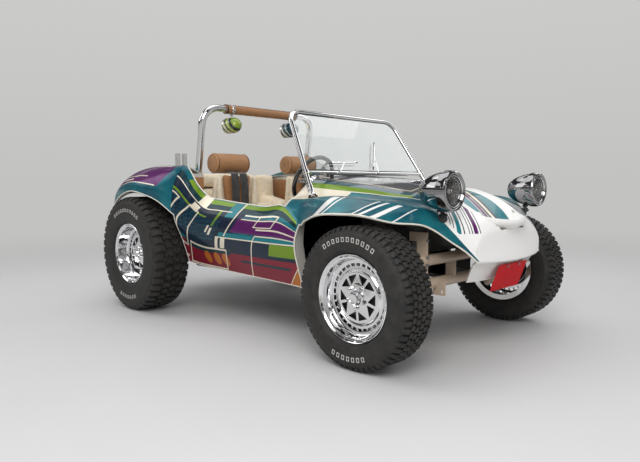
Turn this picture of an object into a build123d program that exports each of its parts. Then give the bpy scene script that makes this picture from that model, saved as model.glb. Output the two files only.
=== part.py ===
from build123d import *
import math
import os

# Dune buggy: a short glass-fibre tub on a shortened pan, with a torsion-tube front axle,
# a rear engine, staggered tyres, one roll hoop and an open cockpit.
# Millimetres, +X forward, +Y to the car's left, +Z up, origin under the middle of the car.

# Whole car
wheelbase = 2038.0
front_overhang = 445.0
body_wall = 8.0
flush_gap = 0.3

# Wheels: radius over the lugs, width, tread and where the middle plane stands
front_tyre_radius = 343.0
front_tyre_width = 220.0
front_tread_width = 182.0
front_wheel_y = 715.0
front_rim_width = 178.0
front_lug_height = 10.0
front_rib_width = 76.0
rear_tyre_radius = 401.0
rear_tyre_width = 272.0
rear_tread_width = 238.0
rear_wheel_y = 762.0
rear_rim_width = 238.0
rear_lug_height = 15.0
rear_rib_width = 0.0
tyre_sides = 28
lug_share_of_side = 0.86
lug_root = 8.0
shoulder_drop = 14.0
rim_seat_radius = 190.0
rim_flange_radius = 212.5
rim_flange_thickness = 9.0
rim_wall = 6.0
bead_gap = 0.3
hub_face_offset = 18.0
hub_bore_radius = 20.0
disc_wall = 8.0
star_radius = 124.0
star_hub_radius = 62.0
star_rise = 20.0
star_window_count = 10
star_bar = 13.0
cap_radius = 38.0
cap_reach = 34.0
drum_radius = 124.0
drum_length = 58.0

# Steering
kingpin_y = 555.0
kingpin_radius = 14.0
kingpin_clearance = 0.05
steering_arm_length = 130.0
steering_arm_thickness = 14.0
track_rod_radius = 11.0
spindle_radius = 17.0
kingpin_half_length = 95.0
kingpin_boss_radius = 24.0
kingpin_boss_half_length = 58.0
spindle_collar_radius = 30.0
spindle_end_beyond_disc = 10.0
back_plate_radius = 110.0
back_plate_thickness = 4.0
back_plate_behind_drum = 6.0
steering_arm_drop = 40.0
steering_arm_end = 16.0
steering_arm_half_width = 14.0
spindle_clearance = 0.05

# Front axle
beam_tube_radius = 28.0
beam_tube_ahead = 140.0
beam_lower_z = 378.0
beam_upper_z = 498.0
beam_half_length = 470.0
arm_thickness = 26.0
arm_height = 44.0
tower_half_spacing = 430.0
eye_half_spacing = 78.0
tower_top_z = 640.0
tower_plate = 10.0
tow_eye_radius = 9.0
tow_eye_plate = 10.0
tow_eye_y = 330.0

# Dampers
damper_radius = 19.0
damper_behind_beam = 55.0
damper_y = 404.0
rear_damper_y = 590.0
rear_damper_radius = 23.0
rear_damper_length = 300.0
damper_top_below_tower = 20.0
damper_eye_radius = 8.0

# Pan and tunnel
pan_bottom_z = 330.0
pan_thickness = 8.0
pan_half_width = 602.0
pan_flange_inner_y = 560.0
pan_front_behind_axle = 440.0
bulkhead_behind_axle = 484.0
pan_rear_ahead_of_axle = 430.0
tunnel_half_width = 85.0
tunnel_height = 120.0
tunnel_clearance = 1.0
frame_head_half_width = 140.0
frame_head_rise = 40.0
frame_head_thickness = 20.0
frame_neck_length = 20.0
tub_flange = 30.0

# Fuel tank
tank_rear_behind_axle = 380.0
tank_front_ahead = 60.0
tank_half_width = 280.0
tank_bottom_z = 520.0
tank_top_z = 690.0
tank_leg_front_behind_axle = 40.0
tank_leg_rear_behind_axle = 300.0
tank_leg_y = 100.0
tank_leg_width = 30.0

# Rear axle, transaxle and engine
axle_tube_radius = 38.0
torsion_tube_radius = 45.0
torsion_tube_ahead = 330.0
torsion_tube_half_length = 480.0
transaxle_radius = 135.0
transaxle_front = 330.0
transaxle_rear = -120.0
engine_length = 380.0
engine_half_width = 190.0
engine_bottom_z = 270.0
engine_top_z = 560.0
barrel_z = 430.0
barrel_spacing = 175.0
barrel_radius = 52.0
barrel_reach = 330.0
fin_size = 150.0
fin_thickness = 6.0
fin_pitch = 20.0
fin_count = 6
head_thickness = 48.0
head_height = 140.0
rocker_cover_thickness = 30.0
rocker_cover_height = 96.0
shroud_behind_bell = 100.0
shroud_half_width = 260.0
shroud_length = 120.0
shroud_top_z = 905.0
shroud_leg_height = 80.0
shroud_arch_radius = 150.0
fan_ring_radius = 118.0
fan_ring_wall = 14.0
fan_ring_length = 22.0
fan_recess = 40.0
fan_hub_radius = 42.0
alternator_radius = 60.0
alternator_pulley_radius = 72.0
alternator_stand_width = 80.0
crank_pulley_radius = 86.0
crank_pulley_z = 400.0
pulley_width = 24.0
manifold_radius = 22.0
manifold_height = 95.0
carburettor_size = 70.0
carburettor_height = 80.0
air_filter_radius = 58.0
air_filter_height = 62.0
stack_radius = 23.0
stack_wall = 2.5
stack_half_spacing = 34.0
stack_top_z = 1166.0
stack_bottom_z = 470.0
silencer_radius = 30.0
silencer_half_length = 305.0
exhaust_behind_engine = 191.4
header_radius = 19.0
header_bend_radius = 55.0
header_z = 290.0
stack_bore_depth = 200.0

# Windscreen and roll hoop
frame_tube_radius = 14.0
rail_radius = 12.0
screen_top_behind_axle = 778.0
screen_top_half_width = 484.0
screen_top_z = 1312.0
screen_rail_behind_axle = 561.0
screen_rail_half_width = 551.0
screen_rail_z = 946.0
screen_corner_radius = 95.0
screen_foot_z = 770.0
glass_thickness = 6.0
wiper_pivot_radius = 9.0
wiper_pivot_length = 22.0
wiper_arm_radius = 4.0
wiper_blade_radius = 5.0
hoop_tube_radius = 25.0
hoop_top_behind_axle = 1617.0
hoop_foot_behind_axle = 1753.0
hoop_half_width = 515.0
hoop_top_z = 1418.0
hoop_corner_radius = 120.0
pad_radius = 33.0
pad_half_length = 335.0
pod_radius = 66.0
pod_length = 120.0
pod_y = 276.0
pod_drop = 112.0

# Bonnet
bonnet_rear_behind_axle = 620.0
bonnet_front_ahead = 60.0
bonnet_rear_half_width = 464.0
bonnet_front_half_width = 364.0
bonnet_gap = 2.0
dash_thickness = 12.0
dash_half_width = 600.0
dash_bottom_z = 770.0
dash_below_skin = 2.0

# Lamps and plate
lamp_radius = 98.0
lamp_length = 190.0
lamp_front_ahead = 334.0
lamp_y = 448.7
lamp_z = 841.5
lens_depth = 30.0
lens_setback = 8.0
lamp_stand_radius = 16.0
lamp_stand_foot_z = 660.0
plate_width = 300.0
plate_height = 145.0
plate_thickness = 3.0
plate_top_ahead = 405.0
plate_top_z = 470.0
plate_lean = 20.0
plate_tab_y = 60.0
plate_tab_width = 24.0
plate_tab_drop = 6.0
plate_tab_reach = 45.0

tail_lamp_behind_axle = 2478.0
tail_lamp_length = 110.0
tail_lamp_y = 650.0
tail_lamp_z = 868.0
tail_lamp_radius = 38.0

# Seats and controls
seat_y = 335.0
seat_width = 440.0
seat_back_behind_axle = 1560.0
seat_front_behind_axle = 1010.0
seat_squab_z = 520.0
seat_back_thickness = 110.0
seat_back_half_width = 200.0
seat_back_top_half_width = 168.0
seat_nose_drop = 70.0
seat_dish = 25.0
headrest_radius = 71.0
headrest_length = 285.0
headrest_z = 1032.0
headrest_behind_seat = 20.0
steering_wheel_radius = 150.0
steering_wheel_behind_axle = 722.0
steering_wheel_z = 901.0
steering_wheel_rim_radius = 13.0
column_rake = 24.0
column_radius = 19.0
column_hole_clearance = 4.0
wheel_hub_radius = 36.0
wheel_hub_length = 40.0
wheel_spoke_radius = 7.0
wheel_spoke_count = 3
steering_box_radius = 38.0
steering_box_below_column = 77.0
steering_box_height = 105.0
gear_lever_behind_axle = 1050.0
gear_lever_lean = 40.0
gear_lever_height = 300.0
gear_lever_radius = 7.0
gear_knob_radius = 24.0
gear_gaiter_radius = 30.0
gear_gaiter_height = 20.0
handbrake_behind_axle = 1330.0
handbrake_reach = 180.0
handbrake_rise = 70.0
handbrake_radius = 12.0
handbrake_y = 18.0
handbrake_foot_width = 28.0
handbrake_foot_height = 40.0
pedal_behind_axle = 575.0
pedal_spacing = 88.0
pedal_height = 150.0
pedal_lean = 38.0
pedal_stem_radius = 7.0
pedal_pad_width = 60.0
pedal_pad_height = 58.0
pedal_pad_thickness = 12.0
bench_front_ahead_of_foot = 8.0
bench_back_behind_axle = 2150.0
bench_half_width = 480.0
bench_base_z = 620.0
tub_side_y = 548.0
bench_squab_z = 745.0
deck_z = 955.0
deck_rear_behind_axle = 2250.0
riser_behind_axle = 1585.0
riser_half_width = 610.0
riser_wing = 152.0
bench_top_z = 985.0
bench_back_thickness = 110.0

rear_overhang = engine_length + exhaust_behind_engine + 2 * silencer_radius - transaxle_rear + 2 * flush_gap
overall_length = front_overhang + wheelbase + rear_overhang
front_axle_x = overall_length / 2 - front_overhang
rear_axle_x = front_axle_x - wheelbase
nose_x = overall_length / 2
tail_x = -overall_length / 2
headrest_behind_axle = seat_back_behind_axle + headrest_behind_seat
steering_box_x = front_axle_x + beam_tube_ahead - beam_tube_radius - steering_box_radius - flush_gap
column_run = steering_box_x - front_axle_x + steering_wheel_behind_axle
column_length = column_run / math.cos(math.radians(column_rake))
bench_front_behind_axle = hoop_foot_behind_axle - bench_front_ahead_of_foot
engine_front_x = rear_axle_x + transaxle_rear - flush_gap
engine_rear_x = engine_front_x - engine_length
shroud_front_x = rear_axle_x + transaxle_rear - shroud_behind_bell
shroud_rear_x = shroud_front_x - shroud_length
fan_z = shroud_top_z - shroud_arch_radius
head_y = barrel_reach - rocker_cover_thickness - head_thickness / 2
pan_top_z = pan_bottom_z + pan_thickness
flange_z = pan_top_z + flush_gap
arm_inner_y = beam_half_length - arm_thickness / 2 - arm_height / 2


def fx(behind):
    """X of a place given as a distance behind the front axle."""
    return front_axle_x - behind


def rx(behind):
    """X of a place given as a distance behind the rear axle."""
    return rear_axle_x - behind


# Side of the tub between the wheels, rim to sill.
# Columns: behind front axle, rim y, rim z, shoulder y, shoulder z, belly y, belly z,
#          tuck y, tuck z, sill y, sill z
side_sections = [
    (484, 662, 764, 702, 690, 716, 560, 690, 430, 652, 318),
    (600, 652, 750, 700, 680, 722, 555, 690, 430, 642, 321),
    (1000, 650, 766, 702, 690, 726, 560, 692, 440, 640, 333),
    (1375, 655, 812, 706, 710, 730, 570, 694, 450, 648, 347),
    (1494, 660, 892, 716, 790, 744, 620, 706, 475, 656, 354),
    (1585, 668, 1000, 752, 900, 784, 700, 722, 520, 672, 368),
]

# Rear wing and deck, deck edge to lip.
# Columns: behind front axle, edge y, edge z, crest y, crest z, shoulder y, shoulder z,
#          flank y, flank z, lip y, lip z
wing_sections = [
    (1585, 560, 960, 668, 1000, 752, 900, 784, 780, 786, 672),
    (1700, 545, 965, 680, 1012, 790, 930, 822, 850, 828, 770),
    (1860, 540, 968, 690, 1018, 808, 945, 846, 880, 856, 822),
    (2040, 530, 965, 690, 1010, 812, 945, 850, 895, 862, 842),
    (2200, 515, 945, 678, 985, 800, 925, 842, 870, 856, 806),
    (2360, 495, 880, 650, 920, 768, 870, 812, 810, 828, 730),
    (2470, 470, 790, 610, 830, 715, 790, 760, 730, 778, 650),
]

# Front body, centre line to lip.
# Columns: behind front axle, centre z, bonnet mid y, bonnet mid z, bonnet edge y,
#          bonnet edge z, root y, root z, crest y, crest z, lip y, lip z
front_sections = [
    (620, 938, 250, 930, 470, 890, 560, 820, 610, 800, 662, 764),
    (484, 925, 245, 916, 455, 880, 560, 808, 625, 804, 700, 700),
    (370, 914, 240, 905, 440, 868, 545, 806, 640, 812, 752, 690),
    (230, 900, 230, 890, 420, 852, 525, 806, 650, 818, 800, 728),
    (60, 876, 215, 866, 392, 828, 490, 800, 630, 806, 802, 738),
    (-70, 856, 200, 846, 366, 812, 455, 792, 600, 790, 790, 732),
    (-145, 832, 185, 822, 340, 794, 420, 776, 540, 768, 672, 698),
    (-218, 800, 165, 790, 310, 766, 380, 750, 450, 738, 530, 680),
    (-300, 752, 140, 744, 260, 724, 320, 708, 370, 690, 412, 594),
    (-380, 712, 110, 706, 200, 694, 290, 676, 332, 610, 335, 505),
]

# Nose wall seen from above, from the foot of the chin to the top.
# Columns: z, corner ahead of front axle, corner y, tip ahead of front axle
nose_sections = [
    (390, 300, 285, 335),
    (485, 356, 322, 400),
    (497, 372, 331, 427),
    (560, 374, 330, 411),
    (639, 374, 320, 399),
    (668, 374, 296, 424),
    (687, 374, 215, 440),
    (704, 374, 90, front_overhang),
]


# Wipers, with the blade's two ends measured across and up from the pivot.
# Columns: pivot y, low end across, low end up, high end across, high end up
wiper_rows = [
    (-300, -45, 60, 205, 68),
    (60, -27, 33, 98, 200),
]

# Edge of the wall behind the front wheels, inside the skin of the side panels.
# Columns: y, z, from the pan up to the scuttle
bulkhead_edge = [
    (pan_half_width + 4, flange_z + 4),
    (650, 324),
    (687, 432),
    (712, 560),
    (699, 680),
    (676, 730),
    (640, 780),
]


def arc_normals(a, b, c):
    """Outward normals of the arc a, b, c at its three points, as offsets to its left."""
    ax, ay = a
    bx, by = b
    cx, cy = c
    d = 2 * (ax * (by - cy) + bx * (cy - ay) + cx * (ay - by))
    if abs(d) < 1e-6:
        length = math.hypot(cx - ax, cy - ay)
        n = (-(cy - ay) / length, (cx - ax) / length)
        return [n, n, n]
    sa, sb, sc = ax * ax + ay * ay, bx * bx + by * by, cx * cx + cy * cy
    ux = (sa * (by - cy) + sb * (cy - ay) + sc * (ay - by)) / d
    uy = (sa * (cx - bx) + sb * (ax - cx) + sc * (bx - ax)) / d
    turn = 1 if d > 0 else -1
    out = []
    for px, py in (a, b, c):
        r = math.hypot(px - ux, py - uy)
        out.append(((ux - px) / r * turn, (uy - py) / r * turn))
    return out


def wall_wire(x, spans, wall):
    """Closed wire of a wall at station x: spans of 2 or 3 (y, z) points, wall to the left."""
    normals = []
    for span in spans:
        if len(span) == 3:
            normals.append(arc_normals(*span))
        else:
            (ay, az), (by, bz) = span
            length = math.hypot(by - ay, bz - az)
            n = (-(bz - az) / length, (by - ay) / length)
            normals.append([n, n])
    inner = []
    for i, span in enumerate(spans):
        points = []
        for j, (y, z) in enumerate(span):
            n = normals[i][j]
            if j == 0 and i > 0:
                m = normals[i - 1][-1]
                n = mitre(m, n)
            if j == len(span) - 1 and i < len(spans) - 1:
                m = normals[i + 1][0]
                n = mitre(n, m)
            points.append((y + n[0] * wall, z + n[1] * wall))
        inner.append(points)
    edges = []
    for span in spans:
        edges.append(span_edge(x, span))
    edges.append(span_edge(x, [spans[-1][-1], inner[-1][-1]]))
    for points in reversed(inner):
        edges.append(span_edge(x, points[::-1]))
    edges.append(span_edge(x, [inner[0][0], spans[0][0]]))
    return Wire(edges)


def mitre(m, n):
    """Joint normal of two walls that meet, long enough to keep the wall's thickness."""
    sy, sz = m[0] + n[0], m[1] + n[1]
    scale = 2 / (sy * sy + sz * sz)
    return (sy * scale, sz * scale)


def span_edge(x, span):
    points = [Vector(x, y, z) for y, z in span]
    if len(points) == 3:
        return Edge.make_three_point_arc(*points)
    return Edge.make_line(*points)


def loft_wires(wires):
    return Solid.make_loft(wires, ruled=True)


def mirror_y(shape):
    return shape.mirror(Plane.XZ)


def box(x0, x1, y0, y1, z0, z1):
    """Box between two corners."""
    solid = Solid.make_box(x1 - x0, y1 - y0, z1 - z0)
    return solid.moved(Location((x0, y0, z0)))


def rod(a, b, radius):
    """Round bar from point a to point b."""
    a, b = Vector(*a), Vector(*b)
    plane = Plane(origin=a, z_dir=b - a)
    return Solid.make_cylinder(radius, (b - a).length, plane)


def fused(solids):
    whole = solids[0]
    for solid in solids[1:]:
        whole = whole + solid
    return whole


def side_panel():
    """Left side of the tub between the wheels."""
    wires = []
    for x, y0, z0, y1, z1, y2, z2, y3, z3, y4, z4 in side_sections:
        spans = [
            [(pan_flange_inner_y, flange_z), (pan_half_width + 4, flange_z)],
            [(pan_half_width + 4, flange_z), (y4, z4)],
            [(y4, z4), (y3, z3), (y2, z2)],
            [(y2, z2), (y1, z1), (y0, z0)],
        ]
        wires.append(wall_wire(fx(x), spans, body_wall))
    return loft_wires(wires)


def rear_wing():
    """Left rear wing with the edge of the deck."""
    wires = []
    for x, y0, z0, y1, z1, y2, z2, y3, z3, y4, z4 in wing_sections:
        spans = [
            [(y4, z4), (y3, z3), (y2, z2)],
            [(y2, z2), (y1, z1), (y0, z0)],
        ]
        wires.append(wall_wire(fx(x), spans, body_wall))
    return loft_wires(wires)


def front_shell():
    """Front wings, scuttle and nose as one curved wall."""
    wires = []
    for row in front_sections:
        x, zc, ym, zm, yb, zb, yr, zr, yk, zk, yl, zl = row
        left = [
            [(yl, zl), (yk, zk), (yr, zr)],
            [(yr, zr), (yb, zb)],
            [(yb, zb), (ym, zm), (0, zc)],
        ]
        right = []
        for span in reversed(left):
            right.append([(-y, z) for y, z in reversed(span)])
        wires.append(wall_wire(fx(x), left + right, body_wall))
    return loft_wires(wires)


def bonnet_prism(grow):
    """Outline of the bonnet seen from above, as a tall prism; grow widens it all round."""
    rear = fx(bonnet_rear_behind_axle) - 1
    front = fx(-bonnet_front_ahead)
    taper = (bonnet_rear_half_width - bonnet_front_half_width) / (front - rear)
    front_y = bonnet_front_half_width + grow - taper * grow
    rear_y = bonnet_rear_half_width + grow
    pts = [(rear, -rear_y), (front + grow, -front_y), (front + grow, front_y), (rear, rear_y)]
    face = Face(Wire.make_polygon([Vector(x, y, flange_z) for x, y in pts]))
    return Solid.extrude(face, Vector(0, 0, screen_rail_z))


def nose_block(wall):
    """Solid between the nose's corners and tip; wall draws every face of it inwards."""
    wires = []
    top_z = nose_sections[-1][0]
    for z, corner_x, corner_y, tip_x in nose_sections:
        if wall > 0:
            z = z - 1 if z == nose_sections[0][0] else min(z, top_z - wall)
        back = fx(-corner_x) - 3 * wall
        a = Vector(back, -corner_y + wall, z)
        tip = Vector(fx(-tip_x) - wall, 0, z)
        c = Vector(back, corner_y - wall, z)
        wires.append(Wire([Edge.make_three_point_arc(a, tip, c), Edge.make_line(c, a)]))
    return loft_wires(wires)


def nose_front():
    """Upright front of the nose: chin, lower lip, recessed face and the tip of the bulge."""
    return nose_block(0) - nose_block(body_wall)


def bulkhead():
    """Wall behind the front wheels, its edge inside the wall of the side panels."""
    right = [(-y, z) for y, z in bulkhead_edge]
    outline = bulkhead_edge + right[::-1]
    face = Face(Wire.make_polygon([Vector(fx(bulkhead_behind_axle), y, z) for y, z in outline]))
    return Solid.extrude(face, Vector(-body_wall, 0, 0))


def rear_tub():
    """Inner walls round the rear seat, with the deck behind it."""
    y = tub_side_y
    lap = body_wall / 2
    shelf_z = bench_base_z - body_wall
    wall_x = fx(bench_back_behind_axle)
    front_x = fx(riser_behind_axle)
    deck = box(fx(deck_rear_behind_axle), wall_x - lap, -y - lap, y + lap, deck_z, deck_z + body_wall)
    wall = box(wall_x - body_wall, wall_x, -y - lap, y + lap, shelf_z + lap, deck_z + lap)
    shelf = box(wall_x - lap, front_x, -y - lap, y + lap, shelf_z, bench_base_z)
    riser = box(front_x, front_x + body_wall, -riser_half_width, riser_half_width, flange_z,
                bench_base_z - lap)
    solids = [deck, wall, shelf, riser]
    for side in (-1, 1):
        y0, y1 = sorted((side * y, side * (y + body_wall)))
        y2, y3 = sorted((side * (y + lap), side * (y + tub_flange)))
        y4, y5 = sorted((side * (y + lap), side * (y + riser_wing)))
        solids.append(box(fx(deck_rear_behind_axle) + lap, front_x + lap, y0, y1, shelf_z + lap / 2,
                          deck_z + body_wall - lap / 2))
        solids.append(box(fx(deck_rear_behind_axle) + body_wall, front_x, y2, y3, deck_z + 1,
                          deck_z + body_wall - 1))
        solids.append(box(front_x - lap, front_x + lap, y4, y5, shelf_z - lap, deck_z + body_wall - 1))
    return fused(solids)


def body_shell():
    front = front_shell() - bonnet_prism(bonnet_gap)
    side = side_panel()
    wing = rear_wing()
    shell = fused([front, side, mirror_y(side), wing, mirror_y(wing), nose_front(), bulkhead()])
    passage_y = tunnel_half_width + tunnel_clearance
    passage = box(tail_x, nose_x, -passage_y, passage_y, pan_bottom_z,
                  pan_bottom_z + tunnel_height + tunnel_clearance)
    centre, axis = column_points()
    column_hole = rod(centre, centre + axis * column_length, column_radius + column_hole_clearance)
    return shell + rear_tub() - passage - column_hole


def bonnet():
    return front_shell() & bonnet_prism(0)


def dash_panel():
    """Board that closes the scuttle's rear edge, holed for the column."""
    behind, zc, ym, zm, yb, zb, yr, zr, yk, zk, yl, zl = front_sections[0]
    drop = dash_below_skin
    half = [(dash_half_width, dash_bottom_z), (dash_half_width, zk), (yr, zr - drop), (yb, zb - drop),
            (ym, zm - drop), (0, zc - drop)]
    right = [(-y, z) for y, z in half[:-1]]
    outline = half + right[::-1]
    x = fx(bonnet_rear_behind_axle) - flush_gap
    face = Face(Wire.make_polygon([Vector(x, y, z) for y, z in outline]))
    centre, axis = column_points()
    hole = rod(centre, centre + axis * column_length / 2, column_radius + column_hole_clearance)
    return Solid.extrude(face, Vector(-dash_thickness, 0, 0)) - hole


def floor_pan():
    """Pan with its tunnel, and the frame head that carries the front axle."""
    z0 = pan_bottom_z
    z1 = z0 + pan_thickness
    head_z = z0 + frame_head_rise
    head_top_z = head_z + frame_head_thickness
    x0 = rx(-pan_rear_ahead_of_axle)
    x1 = fx(pan_front_behind_axle)
    pan = box(x0, x1, -pan_half_width, pan_half_width, z0, z1)
    tunnel_x0 = rear_axle_x + torsion_tube_ahead + torsion_tube_radius + flush_gap
    tunnel = box(tunnel_x0, x1, -tunnel_half_width, tunnel_half_width, z0, z0 + tunnel_height)
    beam_face_x = front_axle_x + beam_tube_ahead - beam_tube_radius - flush_gap
    head = box(x1, beam_face_x, -frame_head_half_width, frame_head_half_width, head_z, head_top_z)
    neck = box(x1 - frame_neck_length / 2, x1 + frame_neck_length / 2,
               -frame_head_half_width, frame_head_half_width, z0, head_top_z)
    return fused([pan, tunnel, head, neck])


def ring_wire(y, radius):
    """Many-sided ring across the axle, with a flat side at the bottom; radius to the flats."""
    corner = radius / math.cos(math.pi / tyre_sides)
    points = []
    for i in range(tyre_sides):
        angle = math.tau * (i + 0.5) / tyre_sides
        points.append(Vector(corner * math.sin(angle), y, -corner * math.cos(angle)))
    return Wire.make_polygon(points)


def carcass(radius, width, tread, rim_width, lug, rib):
    """Tyre without its lugs, axle along Y, middle plane at y = 0."""
    floor = radius - lug
    bead_y = rim_width / 2 - rim_flange_thickness - bead_gap
    # Columns: y, radius, from the bead to the middle of the tread
    half = [
        (bead_y, rim_flange_radius + 2),
        (width / 2, (radius + rim_flange_radius) / 2 - 8),
        (tread / 2 + 2, floor - shoulder_drop),
        (tread / 2 - 22, floor),
    ]
    if rib:
        half += [(rib / 2 + 4, floor), (rib / 2, radius)]
    rows = [(-y, r) for y, r in half] + half[::-1]
    solid = loft_wires([ring_wire(y, r) for y, r in rows])
    bore = loft_wires([ring_wire(y, rim_seat_radius + bead_gap) for y in (-width, width)])
    return solid - bore


def lug_block(radius, tread, lug, rib):
    """One shoulder block at the bottom of the tyre, on the +Y side."""
    inner = rib / 2 + 12
    floor = radius - lug
    # Columns: y, radius
    outline = [
        (inner, floor - lug_root),
        (tread / 2 + 4, floor - 2 * shoulder_drop),
        (tread / 2 + 8, radius - shoulder_drop),
        (tread / 2 - 14, radius),
        (inner, radius),
    ]
    width = 2 * floor * math.tan(math.pi / tyre_sides) * lug_share_of_side
    face = Face(Wire.make_polygon([Vector(-width / 2, y, -r) for y, r in outline]))
    return Solid.extrude(face, Vector(width, 0, 0))


def tyre(radius, width, tread, rim_width, lug, rib):
    """Tyre with a block on every side of the carcass, left and right shoulder in turn."""
    block = lug_block(radius, tread, lug, rib)
    blocks = []
    for i in range(0, tyre_sides, 2):
        blocks.append(block.rotate(Axis.Y, 360 * i / tyre_sides))
        blocks.append(mirror_y(block).rotate(Axis.Y, 360 * (i + 1) / tyre_sides))
    return carcass(radius, width, tread, rim_width, lug, rib).fuse(*blocks)


def wheel_rim(rim_width):
    """Rim turned about Y, outer face towards +Y: barrel, deep lip and windowed star."""
    rh = rim_width / 2
    s = rim_seat_radius
    f = rim_flange_radius
    t = rim_wall
    g = rim_flange_thickness
    y0 = hub_face_offset
    star_y = y0 + star_rise
    # Columns: radius, y
    outline = [
        (hub_bore_radius, y0), (s - t, y0), (s - t, -rh), (f, -rh), (f, -rh + g), (s, -rh + g),
        (s, rh - g), (f, rh - g), (f, rh), (s - t, rh), (s - t - 6, y0 + disc_wall + 6),
        (star_radius + 22, y0 + disc_wall), (star_radius, star_y), (cap_radius, star_y + disc_wall),
        (cap_radius - 8, star_y + cap_reach), (0, star_y + cap_reach + 4), (0, star_y),
        (hub_bore_radius, star_y),
    ]
    face = Face(Wire.make_polygon([Vector(r, y, 0) for r, y in outline]))
    rim = Solid.revolve(face, 360, Axis.Y)
    return rim - star_windows(y0, star_y + disc_wall)


def star_windows(y0, y1):
    """Wedge-shaped openings between the star's arms, two to each arm's side."""
    step = math.tau / star_window_count
    lean = star_bar / 2
    inner, outer = star_hub_radius, star_radius - 8
    near = math.asin(lean / inner)
    far = math.asin(lean / outer)
    corners = [(inner, near), (outer, far), (outer, step - far)]
    windows = []
    for i in range(star_window_count // 2):
        for flip in (1, -1):
            points = []
            for r, angle in corners:
                a = 2 * i * step + flip * angle
                points.append(Vector(r * math.sin(a), y0 - 1, r * math.cos(a)))
            face = Face(Wire.make_polygon(points))
            windows.append(Solid.extrude(face, Vector(0, y1 - y0 + 2, 0)))
    return Compound(children=windows)


def drum():
    """Brake drum turned about Y, its outer face against the wheel's disc."""
    y1 = hub_face_offset - flush_gap
    y0 = y1 - drum_length
    body = rod((0, y0, 0), (0, y1, 0), drum_radius)
    bore = rod((0, y0 - 1, 0), (0, y1 + 1, 0), spindle_radius + spindle_clearance)
    return body - bore


def place_wheel(shape, x, y, z, side):
    """Put a wheel piece made about the origin, outer face +Y, on its axle."""
    if side < 0:
        shape = mirror_y(shape)
    return shape.moved(Location((x, side * y, z)))


def knuckle():
    """Left knuckle: kingpin, spindle and steering arm."""
    x, y, z = front_axle_x, kingpin_y, front_tyre_radius
    disc_y = front_wheel_y + hub_face_offset
    pin = rod((x, y, z - kingpin_half_length), (x, y, z + kingpin_half_length), kingpin_radius)
    boss = rod((x, y, z - kingpin_boss_half_length), (x, y, z + kingpin_boss_half_length),
               kingpin_boss_radius)
    spindle = rod((x, y, z), (x, disc_y + spindle_end_beyond_disc, z), spindle_radius)
    collar_end = disc_y - drum_length - back_plate_behind_drum
    collar = rod((x, y, z), (x, collar_end, z), spindle_collar_radius)
    back_plate = rod((x, collar_end - back_plate_thickness, z), (x, collar_end, z), back_plate_radius)
    arm_z = z - steering_arm_drop
    half = steering_arm_half_width
    arm = box(x - steering_arm_length - steering_arm_end, x, y - half, y + half,
              arm_z - steering_arm_thickness, arm_z)
    return fused([pin, boss, spindle, collar, back_plate, arm])


def track_rod():
    x = front_axle_x - steering_arm_length
    z = front_tyre_radius - steering_arm_drop + flush_gap + track_rod_radius
    bar = rod((x, -kingpin_y, z), (x, kingpin_y, z), track_rod_radius)
    return bar


def front_axle_beam():
    """Two torsion tubes, uprights, trailing arms and the tow eye."""
    x = front_axle_x + beam_tube_ahead
    solids = []
    for z in (beam_lower_z, beam_upper_z):
        solids.append(rod((x, -beam_half_length, z), (x, beam_half_length, z), beam_tube_radius))
    for side in (-1, 1):
        y = side * tower_half_spacing
        solids.append(box(x - 30, x + 30, y - tower_plate / 2, y + tower_plate / 2,
                          beam_lower_z - 20, tower_top_z))
        solids.append(box(x - 75, x, y - tower_plate / 2, y + tower_plate / 2,
                          tower_top_z - 45, tower_top_z))
        y0 = side * 160
        solids.append(box(x - 34, x + 20, y0 - 8, y0 + 8, beam_lower_z - 10, beam_upper_z + 10))
        ye = side * tow_eye_y
        eye = box(x, x + 70, ye - tow_eye_plate / 2, ye + tow_eye_plate / 2,
                  beam_lower_z - 60, beam_lower_z)
        hole = rod((x + 50, ye - 20, beam_lower_z - 42), (x + 50, ye + 20, beam_lower_z - 42),
                   tow_eye_radius)
        solids.append(eye - hole)
        for z, rise in ((beam_lower_z, -eye_half_spacing), (beam_upper_z, eye_half_spacing)):
            solids.append(trailing_arm(x, z, front_tyre_radius + rise, side))
    return fused(solids)


def trailing_arm(x, z, eye_z, side):
    """Arm from a torsion tube back to the eye that carries the kingpin."""
    y0 = side * (beam_half_length - arm_thickness / 2)
    bar = rod((x, y0, z), (front_axle_x, y0, eye_z), arm_height / 2)
    link = rod((front_axle_x, y0, eye_z), (front_axle_x, side * (kingpin_y - 20), eye_z), 15)
    eye = rod((front_axle_x, side * kingpin_y, eye_z - 14),
              (front_axle_x, side * kingpin_y, eye_z + 14), 27)
    hole = rod((front_axle_x, side * kingpin_y, eye_z - 30),
               (front_axle_x, side * kingpin_y, eye_z + 30), kingpin_radius + kingpin_clearance)
    return bar + link + eye - hole


def dampers():
    """Front and rear telescopic dampers with their eyes."""
    solids = []
    x = front_axle_x + beam_tube_ahead - damper_behind_beam
    low_z = front_arm_low_z(x)
    high_z = tower_top_z - damper_top_below_tower
    tower_y = tower_half_spacing - tower_plate / 2 - flush_gap
    for side in (-1, 1):
        y = side * damper_y
        body = rod((x, y, low_z), (x, y, high_z), damper_radius)
        low = rod((x, y, low_z), (x, side * (arm_inner_y - flush_gap), low_z), damper_eye_radius)
        high = rod((x, y, high_z), (x, side * tower_y, high_z), damper_eye_radius)
        solids.append(body + low + high)
        y = side * rear_damper_y
        z0 = rear_tyre_radius + axle_tube_radius + flush_gap
        z1 = z0 + rear_damper_length
        solids.append(rod((rear_axle_x, y, z0), (rear_axle_x, y, z1), rear_damper_radius))
    return Compound(children=solids)


def front_arm_low_z(x):
    """Height of the lower front arm's middle line at station x."""
    share = (front_axle_x + beam_tube_ahead - x) / beam_tube_ahead
    return beam_lower_z + (front_tyre_radius - eye_half_spacing - beam_lower_z) * share


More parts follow.
